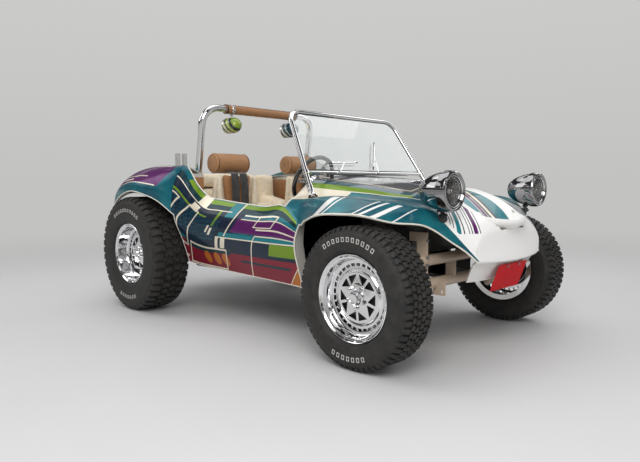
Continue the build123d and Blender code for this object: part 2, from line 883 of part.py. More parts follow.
def rear_axle():
    """Torsion housing, trailing plates and the two axle tubes."""
    z = rear_tyre_radius
    xt = rear_axle_x + torsion_tube_ahead
    solids = [rod((xt, -torsion_tube_half_length, z), (xt, torsion_tube_half_length, z),
                  torsion_tube_radius)]
    for side in (-1, 1):
        inner = side * (transaxle_radius + flush_gap)
        outer = side * (rear_wheel_y + hub_face_offset - drum_length - 8)
        solids.append(rod((rear_axle_x, inner, z), (rear_axle_x, outer, z), axle_tube_radius))
        y = side * (torsion_tube_half_length + 4)
        solids.append(box(rear_axle_x - 40, xt + 30, y - 5, y + 5, z - 32, z + 32))
        stub_end = side * (rear_wheel_y + hub_face_offset + 10)
        solids.append(rod((rear_axle_x, outer, z), (rear_axle_x, stub_end, z), spindle_radius))
    return fused(solids)


def transaxle():
    z = rear_tyre_radius
    x0 = rear_axle_x + transaxle_rear
    x1 = rear_axle_x + transaxle_front - torsion_tube_radius - 6
    bell = rod((x0, 0, z), (rear_axle_x + 80, 0, z), transaxle_radius)
    nose = rod((rear_axle_x + 80, 0, z), (x1, 0, z), 90)
    return bell + nose


def engine_case():
    """Flat four: plain case, finned barrels, heads, rocker covers, alternator and pulleys."""
    x0, x1 = engine_rear_x, engine_front_x
    middle = (x0 + x1) / 2
    solids = [box(x0, x1, -engine_half_width / 2, engine_half_width / 2, engine_bottom_z, engine_top_z)]
    for side in (-1, 1):
        solids += cylinder_bank(middle, side)
    solids.append(rod((shroud_rear_x - flush_gap, 0, fan_z), (x0, 0, fan_z), alternator_radius))
    stand = alternator_stand_width / 2
    solids.append(box(x0 + flush_gap, shroud_rear_x - flush_gap, -stand, stand, engine_top_z - 1, fan_z))
    for z, radius in ((fan_z, alternator_pulley_radius), (crank_pulley_z, crank_pulley_radius)):
        solids.append(rod((x0 - pulley_width, 0, z), (x0 + 1, 0, z), radius))
    return fused(solids)


def cylinder_bank(middle, side):
    """Two finned barrels with their shared head, rocker cover and carburettor."""
    solids = []
    half = fin_size / 2
    for x in (middle - barrel_spacing / 2, middle + barrel_spacing / 2):
        solids.append(rod((x, 0, barrel_z), (x, side * head_y, barrel_z), barrel_radius))
        for i in range(fin_count):
            y = side * (head_y - head_thickness / 2 - fin_pitch * (i + 1))
            solids.append(box(x - half, x + half, y - fin_thickness / 2, y + fin_thickness / 2,
                              barrel_z - half, barrel_z + half))
    half_length = (barrel_spacing + fin_size) / 2
    # Columns: inner y, outer y, half length, half height
    covers = [
        (head_y - head_thickness / 2, head_y + head_thickness / 2, half_length, head_height / 2),
        (head_y + head_thickness / 2 - 1, barrel_reach, half_length - 12, rocker_cover_height / 2),
    ]
    for y_in, y_out, long, high in covers:
        y0, y1 = sorted((side * y_in, side * y_out))
        solids.append(box(middle - long, middle + long, y0, y1, barrel_z - high, barrel_z + high))
    x = middle - barrel_spacing / 2
    y = side * head_y
    z0 = barrel_z + head_height / 2 - 1
    z1 = z0 + manifold_height
    z2 = z1 + carburettor_height
    size = carburettor_size / 2
    solids.append(rod((x, y, z0), (x, y, z1 + 1), manifold_radius))
    solids.append(box(x - size, x + size, y - size, y + size, z1, z2))
    solids.append(rod((x, y, z2 - 1), (x, y, z2 + air_filter_height), air_filter_radius))
    return solids


def fan_shroud():
    """Arched sheet-metal housing across the engine, with the fan's ring on its front."""
    x = shroud_rear_x
    w = shroud_half_width
    r = shroud_arch_radius
    z0 = engine_top_z + flush_gap
    leg_z = z0 + shroud_leg_height
    edges = [
        Edge.make_line(Vector(x, -w, z0), Vector(x, w, z0)),
        Edge.make_line(Vector(x, w, z0), Vector(x, w, leg_z)),
        Edge.make_line(Vector(x, w, leg_z), Vector(x, r, fan_z)),
        Edge.make_three_point_arc(Vector(x, r, fan_z), Vector(x, 0, shroud_top_z), Vector(x, -r, fan_z)),
        Edge.make_line(Vector(x, -r, fan_z), Vector(x, -w, leg_z)),
        Edge.make_line(Vector(x, -w, leg_z), Vector(x, -w, z0)),
    ]
    housing = Solid.extrude(Face(Wire(edges)), Vector(shroud_length, 0, 0))
    x1 = shroud_front_x
    ring = rod((x1 - 1, 0, fan_z), (x1 + fan_ring_length, 0, fan_z), fan_ring_radius)
    recess = rod((x1 - fan_recess, 0, fan_z), (x1 + fan_ring_length + 1, 0, fan_z),
                 fan_ring_radius - fan_ring_wall)
    hub = rod((x1 - fan_recess - 1, 0, fan_z), (x1 - 4, 0, fan_z), fan_hub_radius)
    return housing + ring - recess + hub


def exhaust():
    """Header pipes from the heads to a cross silencer, with two upright stacks."""
    x = tail_x + silencer_radius
    middle = (engine_rear_x + engine_front_x) / 2
    port_z = barrel_z - head_height / 2 - flush_gap
    solids = [rod((x, -silencer_half_length, stack_bottom_z), (x, silencer_half_length, stack_bottom_z),
                  silencer_radius)]
    for side in (-1, 1):
        y = side * head_y
        front_x = middle + barrel_spacing / 2
        rear_x = middle - barrel_spacing / 2
        points = [(front_x, y, port_z), (front_x, y, header_z), (x, y, header_z), (x, y, stack_bottom_z)]
        solids.append(swept_tube(points, header_bend_radius, header_radius))
        solids.append(rod((rear_x, y, port_z), (rear_x, y, header_z), header_radius))
        y = side * stack_half_spacing
        solids.append(rod((x, y, stack_bottom_z), (x, y, stack_top_z), stack_radius))
    whole = fused(solids)
    for side in (-1, 1):
        y = side * stack_half_spacing
        whole = whole - rod((x, y, stack_top_z - stack_bore_depth), (x, y, stack_top_z + 1),
                            stack_radius - stack_wall)
    return whole


def swept_tube(points, corner, radius):
    """Round bar along straight runs joined by arcs."""
    path = FilletPolyline(*points, radius=corner)
    start = path @ 0
    plane = Plane(origin=start, z_dir=path % 0)
    section = plane * Circle(radius)
    return sweep(section, path)


def above_shell(shape):
    """The largest piece left when a shape that enters the front shell is trimmed to it."""
    lifted = front_shell().moved(Location((0, 0, flush_gap)))
    pieces = (shape - lifted).solids()
    return max(pieces, key=lambda piece: piece.volume)


def windscreen_frame():
    """Bent tube round the screen, with the bottom rail."""
    slope_x = (screen_top_behind_axle - screen_rail_behind_axle) / (screen_top_z - screen_rail_z)
    slope_y = (screen_rail_half_width - screen_top_half_width) / (screen_top_z - screen_rail_z)
    drop = screen_rail_z - screen_foot_z
    foot_x = fx(screen_rail_behind_axle) + slope_x * drop
    foot_y = screen_rail_half_width + slope_y * drop
    points = [
        (foot_x, -foot_y, screen_foot_z),
        (fx(screen_top_behind_axle), -screen_top_half_width, screen_top_z),
        (fx(screen_top_behind_axle), screen_top_half_width, screen_top_z),
        (foot_x, foot_y, screen_foot_z),
    ]
    frame = swept_tube(points, screen_corner_radius, frame_tube_radius)
    rail = rod((fx(screen_rail_behind_axle), -screen_rail_half_width, screen_rail_z),
               (fx(screen_rail_behind_axle), screen_rail_half_width, screen_rail_z),
               rail_radius)
    return above_shell(frame + rail)


def windscreen_glass():
    gap = frame_tube_radius + flush_gap
    top = Vector(fx(screen_top_behind_axle), 0, screen_top_z)
    low = Vector(fx(screen_rail_behind_axle), 0, screen_rail_z)
    up = (top - low).normalized()
    height = (top - low).length
    plane = Plane(origin=low, x_dir=(0, 1, 0), z_dir=Vector(0, 1, 0).cross(up))
    lean = math.atan2(screen_rail_half_width - screen_top_half_width, height)
    side_gap = gap / math.cos(lean)
    lower = screen_rail_half_width - side_gap - gap * math.tan(lean)
    upper = screen_top_half_width - side_gap + gap * math.tan(lean)
    outline = Polyline((-lower, gap), (lower, gap), (upper, height - gap),
                       (-upper, height - gap), close=True)
    face = make_face(outline)
    top_corners = face.vertices().sort_by(Axis.Y)[-2:]
    face = fillet(top_corners, screen_corner_radius - frame_tube_radius)
    return extrude(plane * face, amount=glass_thickness / 2, both=True)


def wipers():
    """Two wipers, each on a pivot set against the screen's bottom rail."""
    solids = []
    x = fx(screen_rail_behind_axle) + rail_radius + flush_gap
    slope = (screen_top_behind_axle - screen_rail_behind_axle) / (screen_top_z - screen_rail_z)
    arm_x = x + wiper_pivot_length - 2 * wiper_arm_radius
    for y, low_y, low_z, high_y, high_z in wiper_rows:
        ends = []
        middle = ((low_y + high_y) / 2, (low_z + high_z) / 2)
        for across, up in ((0, 0), middle, (low_y, low_z), (high_y, high_z)):
            ends.append((arm_x - slope * up, y + across, screen_rail_z + up))
        pivot = rod((x, y, screen_rail_z), (x + wiper_pivot_length, y, screen_rail_z), wiper_pivot_radius)
        arm = rod(ends[0], ends[1], wiper_arm_radius)
        blade = rod(ends[2], ends[3], wiper_blade_radius)
        solids.append(fused([pivot, arm, blade]))
    return Compound(children=solids)


def roll_bar():
    foot_z = bench_base_z + flush_gap
    points = [
        (fx(hoop_foot_behind_axle), -hoop_half_width, foot_z + 10),
        (fx(hoop_top_behind_axle), -hoop_half_width, hoop_top_z),
        (fx(hoop_top_behind_axle), hoop_half_width, hoop_top_z),
        (fx(hoop_foot_behind_axle), hoop_half_width, foot_z + 10),
    ]
    hoop = swept_tube(points, hoop_corner_radius, hoop_tube_radius)
    x = fx(hoop_foot_behind_axle)
    solids = [hoop]
    for side in (-1, 1):
        y = side * hoop_half_width
        plate = box(x - 50, x + 50, y - 32, y + 32, foot_z, foot_z + 16)
        solids.append(plate)
    return fused(solids)


def roll_bar_pad():
    x = fx(hoop_top_behind_axle)
    a = (x, -pad_half_length, hoop_top_z)
    b = (x, pad_half_length, hoop_top_z)
    return rod(a, b, pad_radius) - rod(a, b, hoop_tube_radius + flush_gap)


def speaker_pods():
    solids = []
    x = fx(hoop_top_behind_axle)
    z = hoop_top_z - pod_drop
    for side in (-1, 1):
        y = side * pod_y
        pod = rod((x - pod_length / 2, y, z), (x + pod_length / 4, y, z), pod_radius)
        ball = Solid.make_sphere(pod_radius).moved(Location((x + pod_length / 4, y, z)))
        stalk = rod((x, y, z), (x, y, hoop_top_z - pad_radius - flush_gap), 10)
        solids.append(pod + ball + stalk)
    return Compound(children=solids)


def headlamp_shells():
    solids = []
    x1 = fx(-lamp_front_ahead)
    for side in (-1, 1):
        y = side * lamp_y
        # Columns: radius, place ahead of the rim
        pts = [(0, -lamp_length), (40, -lamp_length + 12), (78, -lamp_length + 70),
               (lamp_radius - 4, -60), (lamp_radius, -36), (lamp_radius - 4, 0),
               (lamp_radius - 22, 0), (lamp_radius - 24, -lens_depth), (0, -lens_depth)]
        face = Face(Wire.make_polygon([Vector(px, 0, r) for r, px in pts]))
        shell = Solid.revolve(face, 360, Axis.X).moved(Location((x1, y, lamp_z)))
        stand = rod((x1 - 84, y, lamp_stand_foot_z), (x1 - 84, y, lamp_z - lamp_radius + 16),
                    lamp_stand_radius)
        solids.append(above_shell(shell + stand))
    return Compound(children=solids)


def headlamp_lenses():
    x1 = fx(-lamp_front_ahead)
    solids = []
    for side in (-1, 1):
        solids.append(rod((x1 - lens_depth + flush_gap, side * lamp_y, lamp_z),
                          (x1 - lens_setback, side * lamp_y, lamp_z), lamp_radius - 26))
    return Compound(children=solids)


def number_plate():
    """Blank plate with the two tabs that hang it from the chin."""
    plate = Solid.make_box(plate_thickness, plate_width, plate_height)
    plate = plate.moved(Location((-plate_thickness, -plate_width / 2, -plate_height)))
    plate = plate.rotate(Axis.Y, plate_lean)
    x = fx(-plate_top_ahead)
    z = plate_top_z - plate_tab_drop
    plate = plate.moved(Location((x, 0, plate_top_z)))
    chin = nose_block(0).moved(Location((flush_gap, 0, 0)))
    whole = plate
    for y in (-plate_tab_y, plate_tab_y):
        tab = box(x - plate_tab_reach, x - plate_thickness - 1, y - plate_tab_width / 2,
                  y + plate_tab_width / 2, z - 2 * plate_thickness, z)
        whole = whole + (tab - chin)
    return whole


def wing_core():
    """Solid between the left rear wing's outer skin and the chord from edge to lip."""
    wires = []
    for x, y0, z0, y1, z1, y2, z2, y3, z3, y4, z4 in wing_sections:
        spans = [
            [(y4, z4), (y3, z3), (y2, z2)],
            [(y2, z2), (y1, z1), (y0, z0)],
            [(y0, z0), (y4, z4)],
        ]
        wires.append(Wire([span_edge(fx(x), span) for span in spans]))
    return loft_wires(wires)


def tail_lamps():
    """Round lamps set into the back of the rear wings."""
    rear_x = fx(tail_lamp_behind_axle)
    lamp = rod((rear_x + tail_lamp_length, tail_lamp_y, tail_lamp_z),
               (rear_x, tail_lamp_y, tail_lamp_z), tail_lamp_radius)
    lamp = lamp - wing_core().moved(Location((-flush_gap, 0, flush_gap)))
    lamp = min(lamp.solids(), key=lambda piece: piece.center().X)
    return Compound(children=[lamp, mirror_y(lamp)])


def seat(side):
    """Seat with a dished squab and a back that narrows to the headrest."""
    y = side * seat_y
    xb = fx(seat_back_behind_axle)
    xf = fx(seat_front_behind_axle)
    z0 = pan_top_z + flush_gap
    x1 = xb + seat_back_thickness
    # Columns: x, z, round the squab seen from the side
    squab = [(xb, z0), (xf - seat_nose_drop, z0), (xf, seat_squab_z - seat_nose_drop),
             (xf - seat_dish, seat_squab_z), (x1, seat_squab_z - seat_dish), (xb, seat_squab_z - seat_dish)]
    face = Face(Wire.make_polygon([Vector(x, y - seat_width / 2, z) for x, z in squab]))
    base = Solid.extrude(face, Vector(0, seat_width, 0))
    drop = math.sqrt(headrest_radius ** 2 - headrest_behind_seat ** 2)
    low_z = seat_squab_z - 2 * seat_dish
    top_z = headrest_z - drop - flush_gap
    low, top = seat_back_half_width, seat_back_top_half_width
    # Columns: y, z, round the back seen from the front
    back = [(y - low, low_z), (y + low, low_z), (y + low, (low_z + top_z) / 2), (y + top, top_z),
            (y - top, top_z), (y - low, (low_z + top_z) / 2)]
    face = Face(Wire.make_polygon([Vector(xb, py, pz) for py, pz in back]))
    return base + Solid.extrude(face, Vector(seat_back_thickness, 0, 0))


def headrests():
    x = fx(headrest_behind_axle)
    solids = []
    for side in (-1, 1):
        y = side * seat_y
        solids.append(rod((x, y - headrest_length / 2, headrest_z),
                          (x, y + headrest_length / 2, headrest_z), headrest_radius))
    return Compound(children=solids)


def rear_bench():
    x0 = fx(bench_back_behind_axle) + flush_gap
    x1 = fx(bench_front_behind_axle)
    base = box(x0, x1, -bench_half_width, bench_half_width, bench_base_z + flush_gap,
               bench_squab_z)
    back = box(x0, x0 + bench_back_thickness, -bench_half_width, bench_half_width, bench_squab_z,
               bench_top_z)
    return base + back


def column_points():
    centre = Vector(fx(steering_wheel_behind_axle), -seat_y, steering_wheel_z)
    angle = math.radians(column_rake)
    axis = Vector(math.cos(angle), 0, -math.sin(angle))
    return centre, axis


def steering_wheel():
    centre, axis = column_points()
    plane = Plane(origin=centre, z_dir=axis)
    rim = Solid.make_torus(steering_wheel_radius, steering_wheel_rim_radius, plane)
    hub = Solid.make_cylinder(wheel_hub_radius, wheel_hub_length, plane.offset(-wheel_hub_length / 8))
    spokes = []
    for i in range(wheel_spoke_count):
        angle = math.radians(90 + 360 * i / wheel_spoke_count)
        d = plane.x_dir * math.cos(angle) + plane.y_dir * math.sin(angle)
        a = centre + d * wheel_hub_radius / 2
        b = centre + d * (steering_wheel_radius - steering_wheel_rim_radius / 3)
        spokes.append(rod(a, b, wheel_spoke_radius))
    return fused([rim, hub] + spokes)


def steering_column():
    """Column from the wheel's hub to the steering box behind the upper beam tube."""
    centre, axis = column_points()
    a = centre + axis * (wheel_hub_length * 7 / 8 + flush_gap)
    b = centre + axis * column_length
    z0 = b.Z - steering_box_below_column
    gear = rod((b.X, b.Y, z0), (b.X, b.Y, z0 + steering_box_height), steering_box_radius)
    return rod(a, b, column_radius) + gear


def levers():
    """Gear lever with its gaiter and knob, and the handbrake, both on the tunnel."""
    z = pan_bottom_z + tunnel_height + flush_gap
    x = fx(gear_lever_behind_axle)
    top_x = x - gear_lever_lean
    top_z = z + gear_lever_height
    stick = rod((x, 0, z + 5), (top_x, 0, top_z), gear_lever_radius)
    knob = Solid.make_sphere(gear_knob_radius).moved(Location((top_x, 0, top_z + gear_knob_radius / 2)))
    gaiter = rod((x, 0, z), (x, 0, z + gear_gaiter_height), gear_gaiter_radius)
    x = fx(handbrake_behind_axle)
    y = -handbrake_y
    low_z = z + handbrake_foot_height / 2
    grip = rod((x, y, low_z), (x + handbrake_reach, y, low_z + handbrake_rise), handbrake_radius)
    half = handbrake_foot_width / 2
    foot = box(x - 20, x + 20, y - half, y + half, z, z + handbrake_foot_height)
    return Compound(children=[stick + knob + gaiter, grip + foot])


def pedals():
    """Three pedals that stand on the floor at the driver's feet."""
    solids = []
    x = fx(pedal_behind_axle)
    z = pan_top_z + flush_gap
    top_x = x + pedal_lean
    half = pedal_pad_width / 2
    for place in (-1, 0, 1):
        y = -seat_y + place * pedal_spacing
        stem = rod((x, y, z + 6), (top_x, y, z + pedal_height), pedal_stem_radius)
        foot = box(x - 16, x + 16, y - 14, y + 14, z, z + 12)
        pad = box(top_x - pedal_pad_thickness, top_x, y - half, y + half,
                  z + pedal_height - pedal_pad_height / 2, z + pedal_height + pedal_pad_height / 2)
        solids.append(fused([stem, foot, pad]))
    return Compound(children=solids)


def fuel_tank():
    """Flat tank behind the nose, on two legs from the frame head."""
    solids = [box(fx(tank_rear_behind_axle), fx(-tank_front_ahead), -tank_half_width, tank_half_width,
                  tank_bottom_z, tank_top_z)]
    foot_z = pan_bottom_z + frame_head_rise + frame_head_thickness + flush_gap
    for side in (-1, 1):
        y = side * tank_leg_y
        half = tank_leg_width / 2
        solids.append(box(fx(tank_leg_rear_behind_axle), fx(tank_leg_front_behind_axle), y - half, y + half,
                          foot_z, tank_bottom_z))
    return fused(solids)


def make_parts():
    parts = {
        "body_shell": body_shell(),
        "bonnet": bonnet(),
        "dash_panel": dash_panel(),
        "floor_pan": floor_pan(),
        "windscreen_frame": windscreen_frame(),
        "windscreen_glass": windscreen_glass(),
        "wipers": wipers(),
        "roll_bar": roll_bar(),
        "roll_bar_pad": roll_bar_pad(),
        "speaker_pods": speaker_pods(),
        "headlamp_shells": headlamp_shells(),
        "headlamp_lenses": headlamp_lenses(),
        "number_plate": number_plate(),
        "tail_lamps": tail_lamps(),
        "seat_right": seat(-1),
        "seat_left": seat(1),
        "headrests": headrests(),
        "rear_bench": rear_bench(),
        "steering_wheel": steering_wheel(),
        "steering_column": steering_column(),
        "levers": levers(),
        "pedals": pedals(),
        "front_axle_beam": front_axle_beam(),
        "dampers": dampers(),
        "track_rod": track_rod(),
        "knuckle_right": mirror_y(knuckle()),
        "knuckle_left": knuckle(),
        "rear_axle": rear_axle(),
        "transaxle": transaxle(),
        "engine_case": engine_case(),
        "fan_shroud": fan_shroud(),
        "exhaust": exhaust(),
        "fuel_tank": fuel_tank(),
    }
    # Columns: end, axle x, tyre radius, width, tread, lug height, rib width, wheel y, rim width
    axles = [
        ("front", front_axle_x, front_tyre_radius, front_tyre_width, front_tread_width,
         front_lug_height, front_rib_width, front_wheel_y, front_rim_width),
        ("rear", rear_axle_x, rear_tyre_radius, rear_tyre_width, rear_tread_width,
         rear_lug_height, rear_rib_width, rear_wheel_y, rear_rim_width),
    ]
    for end, x, radius, width, tread, lug, rib, y, rim_width in axles:
        rubber = tyre(radius, width, tread, rim_width, lug, rib)
        rim = wheel_rim(rim_width)
        for side, name in ((-1, "right"), (1, "left")):
            parts[f"tyre_{end}_{name}"] = place_wheel(rubber, x, y, radius, side)
            parts[f"rim_{end}_{name}"] = place_wheel(rim, x, y, radius, side)
            parts[f"drum_{end}_{name}"] = place_wheel(drum(), x, y, radius, side)
    return parts


def main():
    os.makedirs("parts", exist_ok=True)
    for name, shape in make_parts().items():
        export_step(shape, f"parts/{name}.step")


main()
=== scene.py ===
import math

import bpy
from mathutils import Matrix, Vector


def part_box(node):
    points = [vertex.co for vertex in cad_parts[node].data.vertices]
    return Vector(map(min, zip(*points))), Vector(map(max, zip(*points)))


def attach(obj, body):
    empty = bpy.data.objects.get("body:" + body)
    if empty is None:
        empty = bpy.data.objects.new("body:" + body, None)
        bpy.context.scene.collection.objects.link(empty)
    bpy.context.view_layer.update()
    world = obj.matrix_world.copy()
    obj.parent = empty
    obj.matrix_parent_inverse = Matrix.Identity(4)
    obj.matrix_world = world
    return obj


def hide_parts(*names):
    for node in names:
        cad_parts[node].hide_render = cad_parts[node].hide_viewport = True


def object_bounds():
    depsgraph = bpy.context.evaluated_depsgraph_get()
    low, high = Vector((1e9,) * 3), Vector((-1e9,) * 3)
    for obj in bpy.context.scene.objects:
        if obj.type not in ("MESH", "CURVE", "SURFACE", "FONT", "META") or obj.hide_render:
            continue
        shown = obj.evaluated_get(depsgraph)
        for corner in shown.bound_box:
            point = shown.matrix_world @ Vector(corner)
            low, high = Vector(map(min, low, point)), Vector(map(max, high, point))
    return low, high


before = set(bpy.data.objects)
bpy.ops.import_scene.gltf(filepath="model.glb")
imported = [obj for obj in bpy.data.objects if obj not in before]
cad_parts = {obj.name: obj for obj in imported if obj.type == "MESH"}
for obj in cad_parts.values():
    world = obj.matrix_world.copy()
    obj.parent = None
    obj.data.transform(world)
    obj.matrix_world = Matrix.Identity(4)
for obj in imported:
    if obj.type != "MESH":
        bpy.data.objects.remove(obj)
cad_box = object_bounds()

# Places that the other sizes are worked out from, in metres
nose_x = cad_box[1].x
front_axle = (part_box("tyre_front_left")[0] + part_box("tyre_front_left")[1]) / 2
rear_axle = (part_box("tyre_rear_left")[0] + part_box("tyre_rear_left")[1]) / 2
shell_wall = 0.008
bead_radius = 0.0045
backdrop_tone = (0.54, 0.54, 0.53)
front_tyre_radius = 0.343
rear_tyre_radius = 0.401


def fx(behind):
    """X of a place given as a distance behind the front axle."""
    return front_axle.x - behind


# Places that several pieces share
hoop_x, hoop_z = fx(1.617), 1.418
pod_y, pod_z = 0.276, 1.306
seat_back_x, seat_face_x, seat_y = fx(1.555), fx(1.4575), 0.335
seats = (("right", -seat_y), ("left", seat_y))
tub_front_x, tub_half, cockpit_half = fx(1.585), 0.548, 0.66


# Selecting and shaping

def object_mode():
    bpy.ops.object.mode_set(mode="OBJECT")


def edit_mode():
    bpy.ops.object.mode_set(mode="EDIT")


def edit_all():
    """Edit mode with the whole mesh selected."""
    edit_mode()
    bpy.ops.mesh.select_all(action="SELECT")


def deselect():
    if bpy.context.object and bpy.context.object.mode != "OBJECT":
        object_mode()
    bpy.ops.object.select_all(action="DESELECT")


def pick(*pieces):
    """Select these pieces, with the first one active."""
    deselect()
    for piece in pieces:
        piece.select_set(True)
    bpy.context.view_layer.objects.active = pieces[0]


def named(name):
    piece = bpy.context.object
    piece.name = name
    piece.data.name = name
    return piece


def edit(piece, mode="FACE"):
    """Open a piece for editing with nothing selected."""
    pick(piece)
    edit_mode()
    bpy.ops.mesh.select_mode(type=mode)
    bpy.ops.mesh.select_all(action="DESELECT")
    object_mode()


def select_faces(piece, wanted):
    """Select the faces whose centre and normal answer the question, and open the piece."""
    edit(piece, "FACE")
    for polygon in piece.data.polygons:
        polygon.select = wanted(polygon.center, polygon.normal)
    edit_mode()


def select_edges(piece, wanted):
    """Select the edges whose two ends answer the question, and open the piece."""
    edit(piece, "EDGE")
    vertices = piece.data.vertices
    for edge in piece.data.edges:
        a, b = edge.vertices
        edge.select = wanted(vertices[a].co, vertices[b].co)
    edit_mode()


def apply_all(piece):
    pick(piece)
    for modifier in list(piece.modifiers):
        bpy.ops.object.modifier_apply(modifier=modifier.name)


def join(name, pieces):
    pick(*pieces)
    if len(pieces) > 1:
        bpy.ops.object.join()
    return named(name)


def settle(piece):
    """Put a piece's place into its mesh."""
    pick(piece)
    bpy.ops.object.transform_apply(location=True, rotation=True, scale=True)
    return piece


def smooth(piece, angle=35):
    pick(piece)
    bpy.ops.object.shade_smooth_by_angle(angle=math.radians(angle))
    return piece


def outward(piece):
    """Merge doubled points and turn every face outwards."""
    pick(piece)
    edit_all()
    bpy.ops.mesh.remove_doubles(threshold=0.00005)
    bpy.ops.mesh.normals_make_consistent(inside=False)
    object_mode()
    return piece


def copy_of(piece, name, matrix=None):
    """A copy with its own mesh, moved by the matrix."""
    twin = piece.copy()
    twin.data = piece.data.copy()
    bpy.context.collection.objects.link(twin)
    twin.name = name
    twin.data.name = name
    if matrix is not None:
        twin.data.transform(matrix)
        if matrix.determinant() < 0:
            twin.data.flip_normals()
    return twin


def ring_of(piece, count, axis="Y"):
    """The piece and its copies evenly round an axis through the origin, joined."""
    copies = [piece]
    for i in range(1, count):
        copies.append(copy_of(piece, piece.name, Matrix.Rotation(math.tau * i / count, 4, axis)))
    return join(piece.name, copies)


def coated(piece, *finishes):
    """Give a piece its finishes, the first one on every face."""
    piece.data.materials.clear()
    for finish in finishes:
        piece.data.materials.append(finish)
    return piece


def modified(piece, kind, **settings):
    """Add one modifier with these settings and apply it."""
    modifier = piece.modifiers.new(kind.lower(), kind)
    for key, value in settings.items():
        setattr(modifier, key, value)
    apply_all(piece)
    return piece


def cut_out(piece, cutters):
    """Cut the cutters out of a piece."""
    cutter = join("cutter", cutters)
    modified(piece, "BOOLEAN", operation="DIFFERENCE", object=cutter, solver="EXACT")
    bpy.data.objects.remove(cutter)
    return piece


def both_sides(piece):
    """The piece and its mirror image across the middle of the car, joined."""
    return join(piece.name, [piece, copy_of(piece, piece.name, Matrix.Scale(-1, 4, (0, 1, 0)))])


def shift(x, y, z):
    """Matrix that moves a piece by these lengths."""
    return Matrix.Translation((x, y, z))


# Starting shapes

def turned(name, rings, sides=64, closed=True, place=None):
    """Round piece about Z, drawn ring by ring, each ring a radius and a height, then put in its place."""
    deselect()
    radius, height = rings[0]
    bpy.ops.mesh.primitive_circle_add(vertices=sides, radius=radius)
    piece = named(name)
    edit_all()
    bpy.ops.transform.translate(value=(0, 0, height))
    if closed:
        bpy.ops.mesh.edge_face_add()
        bpy.ops.mesh.select_all(action="SELECT")
    for (last_radius, last_height), (radius, height) in zip(rings, rings[1:]):
        bpy.ops.mesh.extrude_edges_move(TRANSFORM_OT_translate={"value": (0, 0, height - last_height)})
        scale = radius / last_radius
        bpy.ops.transform.resize(value=(scale, scale, 1), center_override=(0, 0, height))
    if closed:
        bpy.ops.mesh.edge_face_add()
    object_mode()
    outward(piece)
    if place is not None:
        piece.data.transform(place)
    return piece


def block(name, low, high, bevel, segments=2):
    """Box between two corners with every edge rounded."""
    deselect()
    low, high = Vector(low), Vector(high)
    bpy.ops.mesh.primitive_cube_add(size=1, location=(low + high) / 2, scale=high - low)
    piece = settle(named(name))
    edit_all()
    bpy.ops.mesh.bevel(offset=bevel, segments=segments, affect="EDGES")
    object_mode()
    return smooth(piece)


def tube(name, points, radius, bend=0.0, sides=8, cyclic=False, resolution=8):
    """Round tube along points, its corners rounded to the bend radius."""
    deselect()
    route = rounded(points, bend, cyclic) if bend else [Vector(p) for p in points]
    curve = bpy.data.curves.new(name, "CURVE")
    curve.dimensions = "3D"
    curve.bevel_depth = radius
    curve.bevel_resolution = resolution
    curve.use_fill_caps = not cyclic
    spline = curve.splines.new("POLY")
    spline.points.add(len(route) - 1)
    for point, place in zip(spline.points, route):
        point.co = (*place, 1)
    spline.use_cyclic_u = cyclic
    piece = bpy.data.objects.new(name, curve)
    bpy.context.collection.objects.link(piece)
    pick(piece)
    bpy.ops.object.convert(target="MESH")
    return smooth(outward(named(name)), 50)


def rounded(points, bend, cyclic):
    """The points with each corner turned into an arc."""
    points = [Vector(p) for p in points]
    count = len(points)
    route = []
    for i, corner in enumerate(points):
        if not cyclic and i in (0, count - 1):
            route.append(corner)
            continue
        back = (points[i - 1] - corner).normalized()
        ahead = (points[(i + 1) % count] - corner).normalized()
        half = back.angle(ahead) / 2
        if half > 1.55:
            route.append(corner)
            continue
        reach = bend / math.tan(half)
        centre = corner + (back + ahead).normalized() * (bend / math.sin(half))
        start = corner + back * reach - centre
        finish = corner + ahead * reach - centre
        for k in range(9):
            route.append(centre + start.normalized().slerp(finish.normalized(), k / 8) * bend)
    return route


def laid_along(direction):
    """Rotation that turns +Z onto a direction."""
    return Vector(direction).to_track_quat("Z", "Y").to_matrix().to_4x4()


def done(piece, body, finish, nodes=()):
    """Last steps of every piece: its finish, its body and what it stands for."""
    if finish is not None:
        coated(piece, finish)
    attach(piece, body)
    if nodes:
        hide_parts(*nodes)
    return piece


def dress(rows, place, finish, body="chassis", twins=False):
    """Put pieces in their place and finish them. Columns: piece, finish, slot (not used), nodes that it
    stands for.
    """
    for piece, key, slot, nodes in rows:
        piece.data.transform(place)
        done(both_sides(piece) if twins else piece, body, finish[key], nodes)


# Finishes

